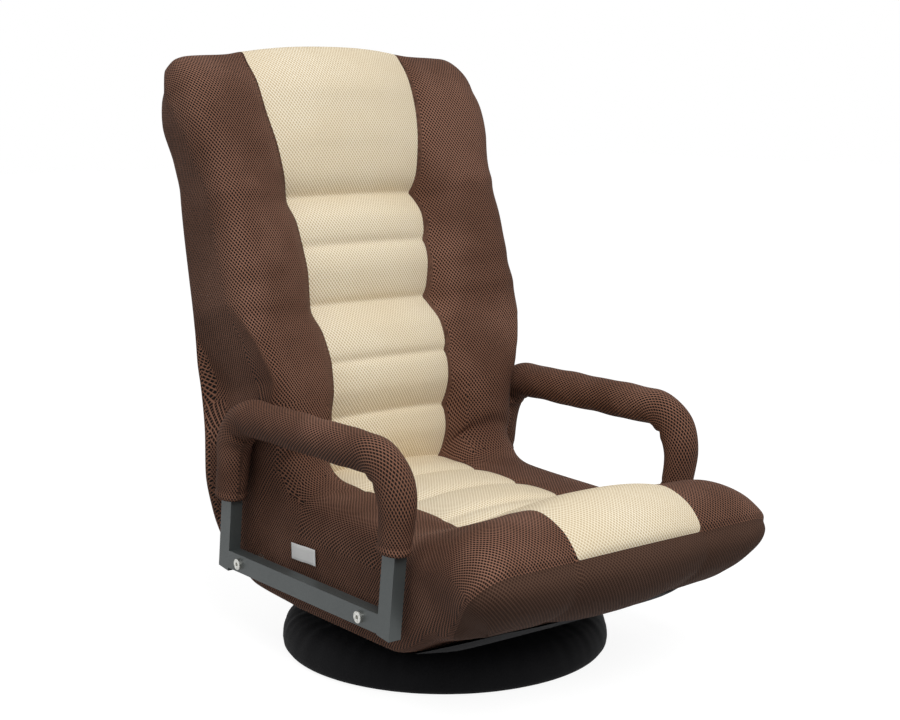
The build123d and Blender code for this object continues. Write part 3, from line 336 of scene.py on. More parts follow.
SECTIONS = [
    ((-318, 127), (-300, 120), 235, 0, 102, 182, 178, 20, 8),
    ((-354, 148), (-292, 116), 215, 0, 102, 190, 185, 36, 30),
    ((-381, 174), (-282, 112), 195, 0, 102, 209, 197, 38, 48),
    ((-391, 199), (-272, 108), 178, 0, 103, 231, 211, 38, 56),
    ((-383, 220), (-260, 104), 155, 1, 103, 243, 221, 42, 58),
    ((-353, 250), (-244, 98), 125, 1, 103, 239, 221, 56, 56),
    ((-311, 262), (-225, 90), 100, -1, 102, 231, 219, 62, 46),
    ((-262, 249), (-208, 82), 92, -2, 100, 224, 216, 58, 34),
    ((-212, 228), (-188, 75), 90, 1, 99, 217, 213, 46, 20),
    seat_section(-158, 209, 6),
    seat_section(-124, 212, 4),
    seat_section(-39.5, 214, 4),
    seat_section(49, 216, 6),
    ((85, 217), (75, 70), 105, 18, 98, 211, 211, 40, 14),
    ((110, 218), (115, 70), 130, 38, 98, 211, 211, 42, 18),
    ((128, 220), (165, 72), 130, 54, 98, 211, 211, 44, 22),
    (back_point(84, 48), hinge_point(57, -55), 128, 68, 98, 211, 213, 46, 26),
    (back_point(100, 58), hinge_point(61, -20), 137, 67, 98, 211, 222, 44, 26),
    (back_point(125, 71), back_point(50, -67), 138, 56, 98, 211, 234, 40, 26),
    back_section(158, 77.7, 110, -67, 50, 98, 212, 237, lift=150),
    back_section(196, 96, 165, -54, 36, 98, 222, 236, lift=160),
    back_section(234, 102, 220, -41, 33, 99, 244, 239),
    back_section(276, 95, 270, -32, 36, 100, 246, 243),
    back_section(318, 72, 318, -24, 56, 100, 245, 243),
    back_section(360, 84, 360, -20, 41, 102, 244, 243),
    back_section(400, 85.4, 400, -19, 39, 105, 244, 242),
    back_section(437, 83, 437, -18, 40, 107, 243, 241),
    back_section(473, 67.7, 473, -16, 53, 109, 242, 240),
    back_section(500, 80, 500, -12, 36, 113, 244, 240),
    back_section(540, 86, 540, -4, 25, 119, 252, 247),
    back_section(600, 82, 592, -7, 23, 128, 259, 254, shoulder=44),
    back_section(640, 75, 628, -4, 16, 130, 258, 250, shoulder=60),
    back_section(669, 61, 644, 0, 6, 132, 251, 242, shoulder=74, lift=150),
    back_section(687, 50, 654, 8, -7, 131, 242, 232, shoulder=76, lift=120),
    back_section(692, 34, 664, 16, -11, 134, 230, 220, shoulder=48, lift=90),
    back_section(686, 20, 672, 20, -11, 135, 210, 208, shoulder=16, lift=60),
]
FRONT_SEAM = 4
VALLEY = 9
TOP_SEAM = 34
# Sewn cross seams of the cream: the section, and how deep the seam draws in
CROSS_SEAMS = {4: 5.0, 9: 5.0, 10: 3.5, 11: 4.5, 12: 4.5, 16: 4.0, 19: 5.0, 21: 4.0, 23: 6.0, 25: 4.0,
               27: 7.0, 34: 2.0}
# How far each cream channel puffs out between its seams
PUFFS = {4: 4.0, 9: 1.0, 10: 6.0, 11: 6.5, 12: 6.0, 16: 5.0, 19: 5.0, 21: 5.0, 23: 5.0, 25: 5.0, 27: 4.0}
FRONT_SEAM_DRAW = 5.5
BAND_SET_BACK = 4.0
ROW_STEP = 6.5
CREAM_COLUMNS = 16
BROWN_COLUMNS = (7, 8, 5, 5, 7, 4, 4)
RIDGE_POINT = sum(BROWN_COLUMNS[:2])
POCKET_HALF_WIDTH = 200.5
POCKET_TOP = 133.0
POCKET_FRONT = -255.0
POCKET_REAR = 95.0
CROWN = 9.0
HEAD_CROWN = 18.0
CREST_CROWN = 2.0
HEAD_ROWS = (29, 30.5, 32)


def upholstery_rows():
    """Row places along the sections: whole numbers fall on the sections themselves."""
    places = [0.0]
    for i in range(len(SECTIONS) - 1):
        edge = math.dist(SECTIONS[i][0], SECTIONS[i + 1][0])
        outer = math.dist(SECTIONS[i][1], SECTIONS[i + 1][1])
        count = max(2, round(max(edge, 0.75 * outer) / ROW_STEP))
        places += [i + (k + 1) / count for k in range(count)]
    return np.array(places)


def seam_values(rows):
    """For each row: the draw of the nearest cross seam, the puff of its channel and the front seam's draw."""
    seams = sorted(CROSS_SEAMS)
    edges = np.array([section[0] for section in SECTIONS])
    line = np.concatenate([[0], np.cumsum(np.linalg.norm(np.diff(edges, axis=0), axis=1))])
    along = np.interp(rows, np.arange(len(SECTIONS)), line)
    draw = np.zeros(len(rows))
    puff = np.zeros(len(rows))
    for seam in seams:
        near = np.abs(along - line[seam])
        draw = np.maximum(draw, CROSS_SEAMS[seam] * np.exp(-near / 7.0))
    for start, end in zip(seams, seams[1:]):
        inside = (rows >= start) & (rows <= end)
        share = (along - line[start]) / (line[end] - line[start])
        puff = np.where(inside, PUFFS[start] * np.sqrt(np.clip(4 * share * (1 - share), 0, 1)), puff)
    past = line[FRONT_SEAM] - along
    front_draw = FRONT_SEAM_DRAW * np.exp(-(past / 4.5) ** 2)
    front_draw += np.where(past > 0, BAND_SET_BACK * np.exp(-past / 35.0), 0)
    return draw, puff, front_draw


def half_section(values, crown, draw, puff, front_draw, in_pocket):
    """The cream line and the brown line of one section's left half, as lists of points."""
    edge_y, edge_z, outer_y, outer_z, lift, rise, cream, half_width, rear_half, shoulder, corner = values
    up = np.array([math.cos(math.radians(lift)), math.sin(math.radians(lift))])
    edge = np.array([edge_y, edge_z]) + up * (0.5 * puff - 0.6 * draw)
    outer = np.array([outer_y, outer_z])
    cream_x = cream + 0.4 * puff - 0.5 * draw
    shares = np.linspace(0, 1, CREAM_COLUMNS + 1)
    crown = crown + 0.5 * puff
    cream_line = []
    for share in shares:
        bulge = crown * (1 - share ** 2.4) - 0.4 * draw * (1 - share ** 4)
        place = edge + up * bulge
        cream_line.append((cream_x * share, place[0], place[1]))
    ridge = np.array([edge_y, edge_z]) + up * rise
    down = outer - ridge
    depth = np.linalg.norm(down)
    down = down / max(depth, 1e-6)
    shoulder = min(shoulder, 0.48 * depth)
    corner = min(corner, 0.45 * depth)
    ridge_x = max(half_width - shoulder, cream_x + 16)
    slope = np.array([edge_y, edge_z]) + up * (rise * 0.62 + 1.5)
    places = [
        (cream_x, edge),
        (cream_x + 0.3 * (ridge_x - cream_x), slope),
        (ridge_x, ridge),
        (half_width - 0.29 * (half_width - ridge_x), ridge + down * 0.29 * shoulder),
        (half_width, ridge + down * shoulder),
        (rear_half, outer - down * corner),
        (rear_half - 0.29 * corner, outer - down * 0.29 * corner),
        (rear_half - corner, outer),
    ]
    knots = [0.0]
    for a, b in zip(places, places[1:]):
        knots.append(knots[-1] + max(math.hypot(b[0] - a[0], b[1][0] - a[1][0], b[1][1] - a[1][1]), 0.5))
    at = [knots[0]]
    for i, count in enumerate(BROWN_COLUMNS):
        at += [knots[i] + (knots[i + 1] - knots[i]) * (k + 1) / count for k in range(count)]
    points = np.array([(x, place[0], place[1]) for x, place in places])
    brown_line = smooth_through(knots, points, at)
    for k, turn in enumerate(np.interp(at, [knots[2], knots[4]], [0, math.pi / 2])):
        drawn = front_draw * min(1.0, at[k] / 6.0)
        brown_line[k] -= drawn * np.array([math.sin(turn), *(up * math.cos(turn))])
    brown_line = [tuple(p) for p in brown_line]
    last_x, last_y, last_z = brown_line[-1]
    if in_pocket:
        brown_line.append((min(last_x, POCKET_HALF_WIDTH), last_y, last_z))
        brown_line.append((min(last_x, POCKET_HALF_WIDTH), last_y, POCKET_TOP))
    else:
        brown_line.append((last_x - 2, last_y, last_z))
        brown_line.append((last_x - 4, last_y, last_z))
    end_x, end_y, end_z = brown_line[-1]
    for share in (0.75, 0.5, 0.25, 0.0):
        brown_line.append((end_x * share, end_y, end_z))
    return cream_line, brown_line


def upholstery_grid():
    """Rows, points and UVs of the whole cover, each row from the middle rear round and back."""
    rows = upholstery_rows()
    table = np.array([(*s[0], *s[1], *s[2:]) for s in SECTIONS], float)
    values = smooth_through(np.arange(len(SECTIONS)), table, rows)
    draw, puff, front_draw = seam_values(rows)
    crown = np.interp(rows, [*HEAD_ROWS, TOP_SEAM], [CROWN, HEAD_CROWN, HEAD_CROWN, CREST_CROWN])
    points = []
    uvs = []
    brown_v = 0.0
    cream_v = 0.0
    last = None
    for i in range(len(rows)):
        y = values[i][0]
        in_pocket = POCKET_FRONT < y < POCKET_REAR
        cream_line, brown_line = half_section(values[i], crown[i], draw[i], puff[i], front_draw[i], in_pocket)
        ridge = np.array(brown_line[RIDGE_POINT])
        middle = np.array(cream_line[0])
        if last is not None:
            brown_v += np.linalg.norm(ridge - last[0])
            cream_v += np.linalg.norm(middle - last[1])
        last = (ridge, middle)
        row = []
        for side in (1, -1):
            half = []
            run = 0.0
            for k, point in enumerate(cream_line):
                if k:
                    run += math.dist(point, cream_line[k - 1])
                half.append(((side * point[0], point[1], point[2]), (side * run, cream_v)))
            ridge_run = sum(math.dist(a, b) for a, b in zip(brown_line, brown_line[1:RIDGE_POINT + 1]))
            run = ridge[0] - ridge_run
            for k in range(1, len(brown_line)):
                run += math.dist(brown_line[k], brown_line[k - 1])
                point = brown_line[k]
                half.append(((side * point[0], point[1], point[2]), (side * run, brown_v)))
            row.append(half)
        whole = row[1][:0:-1] + row[0]
        points.append([p for p, _ in whole[1:]])
        uvs.append([uv for _, uv in whole[1:]])
    return rows, np.array(points), np.array(uvs)


rows, grid, grid_uv = upholstery_grid()
row_count, column_count = grid.shape[:2]


def relax(points, first, last, rounds):
    """Evens the cover's sides out between two sections, where its rows fan round the crease."""
    inside = (rows > first) & (rows < last)
    columns = np.abs(np.arange(column_count) - middle_column)
    start = CREAM_COLUMNS + BROWN_COLUMNS[0]
    free = (columns > start) & (columns < CREAM_COLUMNS + sum(BROWN_COLUMNS[:5]))
    mask = np.outer(inside, free)[:, :, None]
    for _ in range(rounds):
        even = points.copy()
        beside = points[:-2, 1:-1] + points[2:, 1:-1] + points[1:-1, :-2] + points[1:-1, 2:]
        even[1:-1, 1:-1] = 0.25 * beside
        points = np.where(mask, even, points)
    return points


RIDGE_COLUMN = CREAM_COLUMNS + BROWN_COLUMNS[0]
CREASE_ROWS = (12.0, 19.5)
SIDE_START = CREAM_COLUMNS + sum(BROWN_COLUMNS[:4])
SIDE_END = CREAM_COLUMNS + sum(BROWN_COLUMNS[:5])
LABEL_PLACE = (30.0, 152.7)
LABEL_SIDE = 212.8


def side_folds(points):
    """Soft folds where loose cloth lies over the foam, on the seat's sides and low on the backrest."""
    away = np.abs(np.arange(column_count) - middle_column)
    on_side = np.clip((away - SIDE_START + 6) / 6, 0, 1) * np.clip((SIDE_END + 1 - away) / 3, 0, 1)
    x, y, z = points[:, :, 0], points[:, :, 1], points[:, :, 2]
    waves = 1.1 * (1 + np.sin(z / 14 + y / 75)) + 0.8 * (1 + np.sin(z / 8.5 - y / 48 + 1))
    low = np.clip((345 - z) / 110, 0, 1) * np.clip((y + 330) / 90, 0, 1)
    crease_line = 212 + 0.1 * (y - 60) - 0.0009 * (y - 60) ** 2
    crease = 6.5 * np.exp(-((z - crease_line) / 10) ** 2) * np.clip((y + 70) / 80, 0, 1)
    near_label = np.exp(-((y - LABEL_PLACE[0]) / 50) ** 2 - ((z - LABEL_PLACE[1]) / 24) ** 2)
    depth = (waves * low * (1 - near_label) + crease) * on_side[None, :]
    folded = points.copy()
    folded[:, :, 0] = x - np.sign(x) * depth
    return folded


SWING_ANGLES = np.radians([0.0, 5.0, 10.0, 15.0])
SLEEVE_REAR_FACE = 208.0
SLEEVE_LEAN = 0.126
SLEEVE_FOOT = 100.0
SLEEVE_TOP_FACE = 348.0
SIDE_LIMIT = 211.5
REAR_FLARE = 2.0
UPPER_FLARE = 0.3


def clear_of_arms(points):
    """Keeps the sides inside the arms, also while the backrest swings upright: it flares only behind them."""
    x, y, z = points[:, :, 0], points[:, :, 1], points[:, :, 2]
    behind, above = y - HINGE[0], z - HINGE[1]
    limit = np.full(x.shape, np.inf)
    for angle in SWING_ANGLES:
        swung_y = HINGE[0] + math.cos(angle) * behind - math.sin(angle) * above
        swung_z = HINGE[1] + math.sin(angle) * behind + math.cos(angle) * above
        sleeve_rear = SLEEVE_REAR_FACE - SLEEVE_LEAN * (swung_z - SLEEVE_FOOT)
        rear_room = REAR_FLARE * np.maximum(swung_y - sleeve_rear, 0)
        upper_room = UPPER_FLARE * np.maximum(swung_z - SLEEVE_TOP_FACE, 0)
        limit = np.minimum(limit, SIDE_LIMIT + np.maximum(rear_room, upper_room))
    limit = np.where(y > 0, limit, np.inf)
    cleared = points.copy()
    cleared[:, :, 0] = np.clip(x, -limit, limit)
    return cleared


TUCKED_COLUMNS = 6
RELAX_END = 22
RELAX_ROUNDS = 14
middle_column = CREAM_COLUMNS + sum(BROWN_COLUMNS) + TUCKED_COLUMNS - 1
grid = clear_of_arms(side_folds(relax(grid, VALLEY, RELAX_END, RELAX_ROUNDS)))
front_row = int(np.argmin(np.abs(rows - FRONT_SEAM)))
top_row = int(np.argmin(np.abs(rows - TOP_SEAM)))


def is_cream(row, column):
    inside = middle_column - CREAM_COLUMNS <= column < middle_column + CREAM_COLUMNS
    return inside and front_row <= row < top_row


def grid_faces():
    """Faces of the cover, with a flag for cream and the way that the cloth is cut there."""
    faces = []
    for i in range(row_count - 1):
        for j in range(column_count):
            k = (j + 1) % column_count
            away = min(abs(j - middle_column), abs(k - middle_column))
            folded = CREASE_ROWS[0] < rows[i] < CREASE_ROWS[1]
            place = "rows"
            if rows[i] < FRONT_SEAM - 0.01:
                place = "band"
            elif folded and away >= RIDGE_COLUMN:
                place = "crease"
            elif away >= SIDE_START:
                place = "side"
            faces.append((ring_face(i, j, column_count), is_cream(i, j), place))
    return faces


faces = grid_faces()
cover_points = grid.reshape(-1, 3)
cover_uvs = grid_uv.reshape(-1, 2)


SIDE_FACING = 0.82
TOP_FACING = 0.7


def flat_axes(normal, place):
    """The two axes that a face's weave follows where its cloth is cut flat, or None along the rows."""
    if place in ("rows", "band"):
        return None
    if abs(normal.x) > SIDE_FACING:
        return (1, 2)
    if place == "crease":
        return (0, 1) if normal.z > TOP_FACING else (0, 2)
    return None


def cover_piece(name, cream):
    """The brown or the cream part of the cover, with its own UVs."""
    chosen = [face for face, flag, _ in faces if flag == cream]
    places = [place for _, flag, place in faces if flag == cream]
    if not cream:
        chosen.append(tuple(range(column_count - 1, -1, -1)))
        start = (row_count - 1) * column_count
        chosen.append(tuple(range(start, start + column_count)))
    used = sorted({index for face in chosen for index in face})
    new_index = {index: i for i, index in enumerate(used)}
    points = [cover_points[index] for index in used]
    piece_uvs = [cover_uvs[index] for index in used]
    obj = mesh_object(name, points, [tuple(new_index[i] for i in face) for face in chosen], piece_uvs)
    layer = obj.data.uv_layers["cloth"]
    for polygon, place in zip(obj.data.polygons, places):
        flat = flat_axes(polygon.normal, place)
        for loop in polygon.loop_indices if flat else ():
            point = points[obj.data.loops[loop].vertex_index]
            layer.data[loop].uv = (MM * point[flat[0]], MM * point[flat[1]])
        # Band faces of the brown take the second material, the brown darkened as painted shade.
        polygon.material_index = int(place == "band" and not cream)
    return obj


def hold_edges(obj):
    """Keeps open borders sharp when the mesh is made finer."""
    counts = {}
    for polygon in obj.data.polygons:
        for key in polygon.edge_keys:
            counts[key] = counts.get(key, 0) + 1
    crease = obj.data.attributes.new("crease_edge", "FLOAT", "EDGE")
    for edge in obj.data.edges:
        if counts[edge.key] == 1:
            crease.data[edge.index].value = 1.0


brown_cover = cover_piece("upholstery_brown", False)
cream_cover = cover_piece("upholstery_cream", True)
for piece, material, slot in ((brown_cover, BROWN, "brown_fabric"), (cream_cover, CREAM, "cream_fabric")):
    hold_edges(piece)
    subdivide(piece, 1)
    piece.data.materials.append(material)
    if piece is brown_cover:
        piece.data.materials.append(BROWN_BAND_PAINTED_SHADE)
    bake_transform(piece)
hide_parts("seat_cushion", "back_cushion")
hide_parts("seat_centre_panel", "back_centre_panel")


# Arm sleeves
ARM_X = 238.0
SLEEVE_FORWARD = 5.0
ARM_FOOT = 104.2
ARM_RUN = math.tan(math.radians(7.2))
ARM_REAR, ARM_FRONT = 183.0, -192.0
ARM_TOP = 325.7
SLEEVE_END = 204.7
SLEEVE_RADIUS = 25.0
POST_SLEEVE_RADIUS = 21.5
FRONT_SLEEVE_LIFT = 8.0
TUCK_DEPTHS = (7.5, 5.0)
BEND_RADIUS = 58.0


def arm_point(foot, height):
    return np.array([foot - ARM_RUN * (height - ARM_FOOT), height])


def sleeve_line(step):
    """Points along the sleeve's middle, as (y, z)."""
    corners = [arm_point(ARM_REAR, SLEEVE_END), arm_point(ARM_REAR, ARM_TOP),
               arm_point(ARM_FRONT, ARM_TOP), arm_point(ARM_FRONT, SLEEVE_END + FRONT_SLEEVE_LIFT)]
    line = [corners[0]]
    for before, corner, after in zip(corners, corners[1:], corners[2:]):
        into = (corner - before) / np.linalg.norm(corner - before)
        out = (after - corner) / np.linalg.norm(after - corner)
        turn = math.acos(np.clip(np.dot(into, out), -1, 1))
        reach = BEND_RADIUS * math.tan(turn / 2)
        start = corner - into * reach
        side = np.array([-into[1], into[0]])
        if np.dot(side, out) < 0:
            side = -side
        centre = start + side * BEND_RADIUS
        line.append(start)
        count = max(3, round(BEND_RADIUS * turn / step))
        for k in range(1, count + 1):
            angle = turn * k / count
            line.append(centre + BEND_RADIUS * (into * math.sin(angle) - side * math.cos(angle)))
    line.append(corners[-1])
    dense = [line[0]]
    for a, b in zip(line, line[1:]):
        count = max(1, round(np.linalg.norm(b - a) / step))
        dense += [a + (b - a) * (k + 1) / count for k in range(count)]
    dense = np.array(dense)
    rise = np.clip((dense[:, 1] - SLEEVE_END) / (ARM_TOP - SLEEVE_END), 0, 1)
    dense[:, 0] -= SLEEVE_FORWARD * rise
    return dense


def make_sleeve(name, side):
    """A padded sleeve with a hem at each end and one tuck inside each bend."""
    line = sleeve_line(4.0)
    heading = np.gradient(line, axis=0)
    heading /= np.linalg.norm(heading, axis=1, keepdims=True)
    run = np.concatenate([[0], np.cumsum(np.linalg.norm(np.diff(line, axis=0), axis=1))])
    total = run[-1]
    turn = np.abs(np.gradient(np.unwrap(np.arctan2(heading[:, 1], heading[:, 0])), run)) * BEND_RADIUS
    middle = 0.5 * (line[0] + line[-1]) + np.array([0, 40])
    half = total / 2
    tucks = np.zeros(len(run))
    for depth, bend in zip(TUCK_DEPTHS, (run < half, run >= half)):
        bent = bend & (turn > 0.5)
        off = np.abs(run - run[bent].mean())
        tucks += depth * (np.exp(-(off / 6.0) ** 2) - 0.3 * np.exp(-((off - 14) / 6.0) ** 2))
    around = 36
    points = []
    uvs = []
    for i, place in enumerate(line):
        normal = np.array([-heading[i][1], heading[i][0]])
        if np.dot(normal, middle - place) < 0:
            normal = -normal
        end = min(run[i], total - run[i])
        hem = 1.4 * math.exp(-((end - 7) / 4.5) ** 2) - 2.0 * math.exp(-((end - 13) / 2.5) ** 2)
        hem -= 3.0 * math.exp(-end / 2.0)
        for k in range(around):
            angle = 2 * math.pi * k / around
            inward = max(0.0, math.cos(angle))
            wave = -tucks[i] * inward ** 2
            loose = 0.5 * math.sin(run[i] / 17 + 2 * angle) + 0.35 * math.sin(run[i] / 9 - 3 * angle + side)
            full = POST_SLEEVE_RADIUS + (SLEEVE_RADIUS - POST_SLEEVE_RADIUS) * min(1.0, end / 95) ** 1.5
            radius = full + hem + wave + loose
            spot = place + normal * radius * math.cos(angle)
            points.append((side * ARM_X + radius * math.sin(angle), spot[0], spot[1]))
            uvs.append((SLEEVE_RADIUS * angle, run[i]))
    made = ring_faces(len(line), around)
    for i, inset in ((0, 0), (len(line) - 1, 1)):
        start = len(points)
        lip = line[i] + heading[i] * (5.0 if i == 0 else -5.0)
        normal = np.array([-heading[i][1], heading[i][0]])
        if np.dot(normal, middle - line[i]) < 0:
            normal = -normal
        for k in range(around):
            angle = 2 * math.pi * k / around
            c, s = math.cos(angle), math.sin(angle)
            flat = max(abs(c) / 13.0, abs(s) / 9.6)
            spot = lip + normal * c / flat
            points.append((side * ARM_X + s / flat, spot[0], spot[1]))
            uvs.append((SLEEVE_RADIUS * angle, run[i]))
        for k in range(around):
            n = (k + 1) % around
            base = i * around
            ring = (base + k, base + n, start + n, start + k)
            made.append(ring if inset else ring[::-1])
    obj = mesh_object(name, points, made, uvs)
    subdivide(obj, 1)
    obj.data.materials.append(BROWN)
    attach(obj, "seat")
    return obj


for side_name, side in SIDES.items():
    sleeve = make_sleeve("arm_sleeve_" + side_name, side)
    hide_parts("arm_pad_" + side_name)


# Base cover: black cloth gathered round the ring
COVER_ROOF = 63.5
COVER_MOUTH = 96.0


def make_base_cover():
    """Cloth drawn over the round base, with uneven gathers that deepen to its mouth."""
    profile = [(150, 0.6), (190, 0.5), (214, 0.6), (222, 4), (225, 11), (224.5, 20), (222, 30), (216, 40),
               (208, 47), (198, 51), (180, 54), (150, 58), (120, 61.5), (104, 63), (COVER_MOUTH, COVER_ROOF)]
    knots = np.concatenate([[0], np.cumsum([math.dist(a, b) for a, b in zip(profile, profile[1:])])])
    at = np.linspace(0, knots[-1], 44)
    line = smooth_through(knots, np.array(profile), at)
    around = 368
    points = []
    uvs = []
    for i, (radius, z) in enumerate(line):
        share = i / (len(line) - 1)
        fold = 1.5 * math.exp(-((share - 0.52) / 0.16) ** 2) + 3.0 * max(0, share - 0.5)
        if share < 0.18:
            fold = 0
        for k in range(around):
            angle = 2 * math.pi * k / around
            ripple = 0.4 * math.sin(37 * angle + 1.7 * math.sin(3 * angle))
            ripple += 0.35 * math.sin(53 * angle + 2.1 * math.sin(5 * angle) + 1)
            ripple += 0.3 * math.sin(17 * angle + 2.4 * math.sin(2 * angle))
            inward = fold * (ripple - 1) * 0.6
            sag = -1.2 * max(0.0, share - 0.55) * (1 + math.sin(4 * angle))
            reach = radius + inward * 0.8
            height = max(0.3, z + inward * 0.7 + sag)
            points.append((reach * math.cos(angle), reach * math.sin(angle), height))
            uvs.append((radius * angle, at[i]))
    return mesh_object("base_cloth", points, ring_faces(len(line), around), uvs)


base_cloth = make_base_cover()
base_cloth.data.materials.append(BLACK)
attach(base_cloth, "base")
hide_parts("base_cover")

# Black cloth under the seat and behind the backrest
DUST_HOLE = 107.0
NOSE_HANG = 10.0


def under_height(y):
    """The height of the seat's underside at a place along it."""
    return float(np.interp(-y, [-150, 170, 188, 225, 260, 300], [71.5, 71.5, 74.0, 89.0, 103.0, 119.0])) - 1.2


def make_dust_cover():
    """Cloth stapled under the seat, with a round hole for the swivel and a slow rise to the nose."""
    half, rear, front, round_off = 199.0, 150.0, -306.0, 6.0
    around = 144
    rings = 22
    points = []
    uvs = []
    for i in range(rings + 1):
        share = i / rings
        for k in range(around):
            angle = 2 * math.pi * k / around
            c, s = math.cos(angle), math.sin(angle)
            length = rear if s > 0 else -front
            reach = (abs(c / half) ** round_off + abs(s / length) ** round_off) ** (-1 / round_off)
            radius = DUST_HOLE + (reach - DUST_HOLE) * share
            x, y = radius * c, radius * s
            hang = NOSE_HANG * min(1.0, max(0.0, (-y - 170) / 60)) * (1 - share ** 10)
            z = under_height(y) - hang + 0.4 * math.sin(x / 31) * math.sin(y / 27)
            points.append((x, y, z))
            uvs.append((x, y))
    return mesh_object("seat_under_cloth", points, turned_over(ring_faces(rings + 1, around)), uvs)


dust = make_dust_cover()
dust.data.materials.append(BLACK)
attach(dust, "seat")
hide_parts("seat_dust_cover")


REAR_SECTIONS = slice(19, 31)
REAR_HALF_WIDTH = 168.0


def make_rear_cover():
    """Black cloth sewn over the backrest's rear, lying on the brown cover."""
    line = np.array([section[1] for section in SECTIONS[REAR_SECTIONS]])
    knots = np.arange(len(line))
    at = np.linspace(0, len(line) - 1, 70)
    line = smooth_through(knots, line, at)
    heading = np.gradient(line, axis=0)
    heading /= np.linalg.norm(heading, axis=1, keepdims=True)
    run = np.concatenate([[0], np.cumsum(np.linalg.norm(np.diff(line, axis=0), axis=1))])
    across = 41
    points = []
    uvs = []
    for i, place in enumerate(line):
        rear = np.array([heading[i][1], -heading[i][0]])
        for k in range(across):
            share = 2 * k / (across - 1) - 1
            x = REAR_HALF_WIDTH * share
            edge = max(abs(share) ** 8, (2 * abs(i / (len(line) - 1) - 0.5)) ** 16)
            off = 1.6 - 1.2 * edge + 0.5 * math.sin(run[i] / 41 + x / 60) * (1 - edge)
            spot = place + rear * off
            points.append((x, spot[0], spot[1]))
            uvs.append((x, run[i]))
    return mesh_object("back_rear_cloth", points, strip_faces(len(line), across), uvs), run[-1]


rear_cloth, rear_length = make_rear_cover()
rear_cloth.data.materials.append(BLACK)
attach(rear_cloth, "back")
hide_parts("back_rear_cover")


# Blank side label
def make_label():
    """A blank woven label, sewn on a little askew."""
    length, height = 58.0, 22.0
    across, up = 28, 12
    tilt = math.radians(-2)
    points = []
    uvs = []
    for i in range(up + 1):
        for k in range(across + 1):
            a = length * (k / across - 0.5)
            b = height * (i / up - 0.5)
            y = LABEL_PLACE[0] + a * math.cos(tilt) - b * math.sin(tilt)
            z = LABEL_PLACE[1] + a * math.sin(tilt) + b * math.cos(tilt)
            edge = max(abs(2 * k / across - 1) ** 6, abs(2 * i / up - 1) ** 6)
            x = -LABEL_SIDE - 0.9 * (1 - edge) - 0.35 * math.sin(a / 6.5)
            points.append((x, y, z))
            uvs.append((a, b))
    return mesh_object("side_label", points, turned_over(strip_faces(up + 1, across + 1)), uvs)


label = make_label()
label.data.materials.append(LABEL)
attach(label, "seat")
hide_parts("side_tag")

# Finishes of the CAD pieces
slot_of = {}
for part in frame["record"]["subparts"]:
    slot_of[part["node"]] = part["material_slot"]
for name, obj in frame["nodes"].items():
    material = FINISHES[slot_of[name]]
    obj.data.materials.clear()
    obj.data.materials.append(material)


# Studio: a pale floor that is white to the camera, soft lamps and the photograph's camera
def make_floor():
    n = Nodes("studio_floor")
    path = n.add("ShaderNodeLightPath")
    seen = n.math("MAXIMUM", path.outputs["Is Camera Ray"], path.outputs["Is Glossy Ray"])
    n.shader.inputs["Base Color"].default_value = (0.22, 0.22, 0.22, 1)
    n.shader.inputs["Roughness"].default_value = 0.9
    n.shader.inputs["Specular IOR Level"].default_value = 0.0
    glow = n.add("ShaderNodeEmission", {"Color": (1, 1, 1, 1), "Strength": 0.9})
    both = n.add("ShaderNodeAddShader")
    n.tree.links.new(n.shader.outputs["BSDF"], both.inputs[0])
    n.tree.links.new(glow.outputs["Emission"], both.inputs[1])
    chosen = n.add("ShaderNodeMixShader")
    n.put(chosen.inputs["Fac"], seen)
    n.tree.links.new(n.shader.outputs["BSDF"], chosen.inputs[1])
    n.tree.links.new(both.outputs["Shader"], chosen.inputs[2])
    n.tree.links.new(chosen.outputs["Shader"], n.output.inputs["Surface"])
    reach = 12000.0
    corners = [(-reach, -reach, 0), (reach, -reach, 0), (reach, reach, 0), (-reach, reach, 0)]
    floor = mesh_object("floor", corners, [(0, 1, 2, 3)], smooth=False)
    floor.data.materials.append(n.material)
    return floor


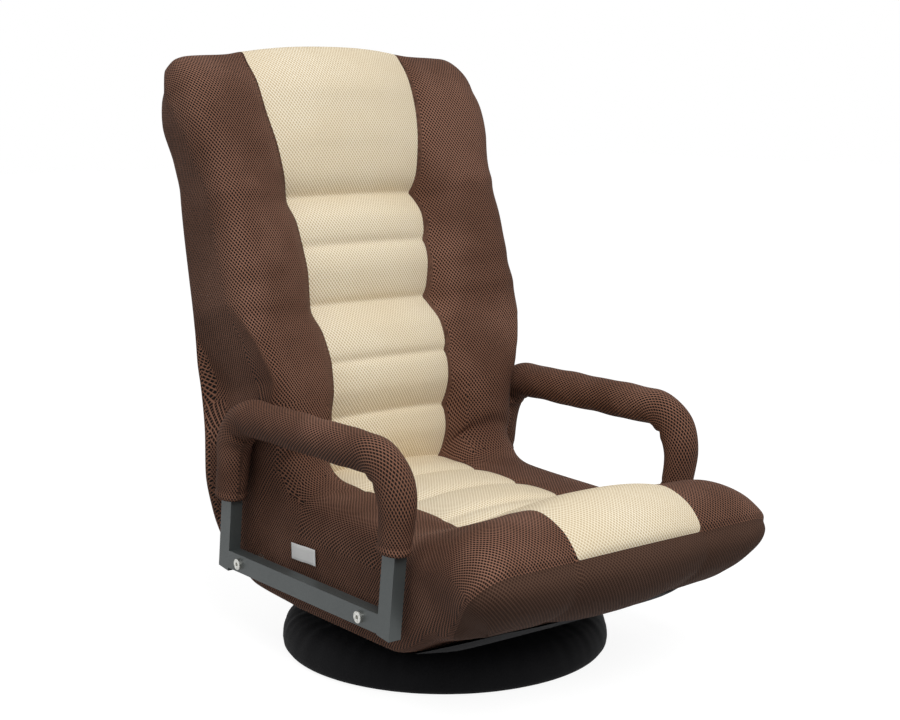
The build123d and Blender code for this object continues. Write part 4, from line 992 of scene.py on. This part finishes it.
make_floor()
world = bpy.data.worlds.new("studio")
bpy.context.scene.world = world
world.use_nodes = True
world_nodes = world.node_tree
background = world_nodes.nodes["Background"]
light_path = world_nodes.nodes.new("ShaderNodeLightPath")
shown = world_nodes.nodes.new("ShaderNodeMath")
shown.operation = "MAXIMUM"
world_nodes.links.new(light_path.outputs["Is Camera Ray"], shown.inputs[0])
world_nodes.links.new(light_path.outputs["Is Glossy Ray"], shown.inputs[1])
level = world_nodes.nodes.new("ShaderNodeMapRange")
level.inputs["To Min"].default_value = 0.5
level.inputs["To Max"].default_value = 1.0
world_nodes.links.new(shown.outputs[0], level.inputs["Value"])
world_nodes.links.new(level.outputs["Result"], background.inputs["Strength"])
background.inputs["Color"].default_value = (1, 1, 1, 1)


def area_lamp(name, place, aim, size, power):
    data = bpy.data.lights.new(name, "AREA")
    data.shape = "DISK"
    data.size = size
    data.energy = power
    lamp = bpy.data.objects.new(name, data)
    lamp.location = place
    lamp.rotation_euler = (Vector(aim) - Vector(place)).to_track_quat("-Z", "Y").to_euler()
    bpy.context.scene.collection.objects.link(lamp)


AIM = (0.0, 0.0, 0.35)
area_lamp("key", (-0.9, -2.3, 2.5), AIM, 1.6, 62)
area_lamp("fill", (-2.2, -1.4, 1.4), AIM, 2.0, 2)
area_lamp("top", (0.0, -0.2, 2.9), AIM, 2.2, 7)

CAMERA_AZIMUTH = math.radians(-38.097)
CAMERA_ELEVATION = math.radians(9.4856)
CAMERA_PLACE = (-1.34427, -1.72577, 0.75896)
toward = Vector((math.sin(CAMERA_AZIMUTH) * math.cos(CAMERA_ELEVATION),
                 -math.cos(CAMERA_AZIMUTH) * math.cos(CAMERA_ELEVATION), math.sin(CAMERA_ELEVATION)))
right = Vector((math.cos(CAMERA_AZIMUTH), math.sin(CAMERA_AZIMUTH), 0))
upward = toward.cross(right)
camera_data = bpy.data.cameras.new("camera")
camera_data.sensor_width = 36
camera_data.lens = 65.47
camera = bpy.data.objects.new("camera", camera_data)
camera.matrix_world = Matrix((
    (right.x, upward.x, toward.x, CAMERA_PLACE[0]),
    (right.y, upward.y, toward.y, CAMERA_PLACE[1]),
    (right.z, upward.z, toward.z, CAMERA_PLACE[2]),
    (0, 0, 0, 1),
))
bpy.context.scene.collection.objects.link(camera)
bpy.context.scene.camera = camera
bpy.context.scene.view_settings.view_transform = "Standard"
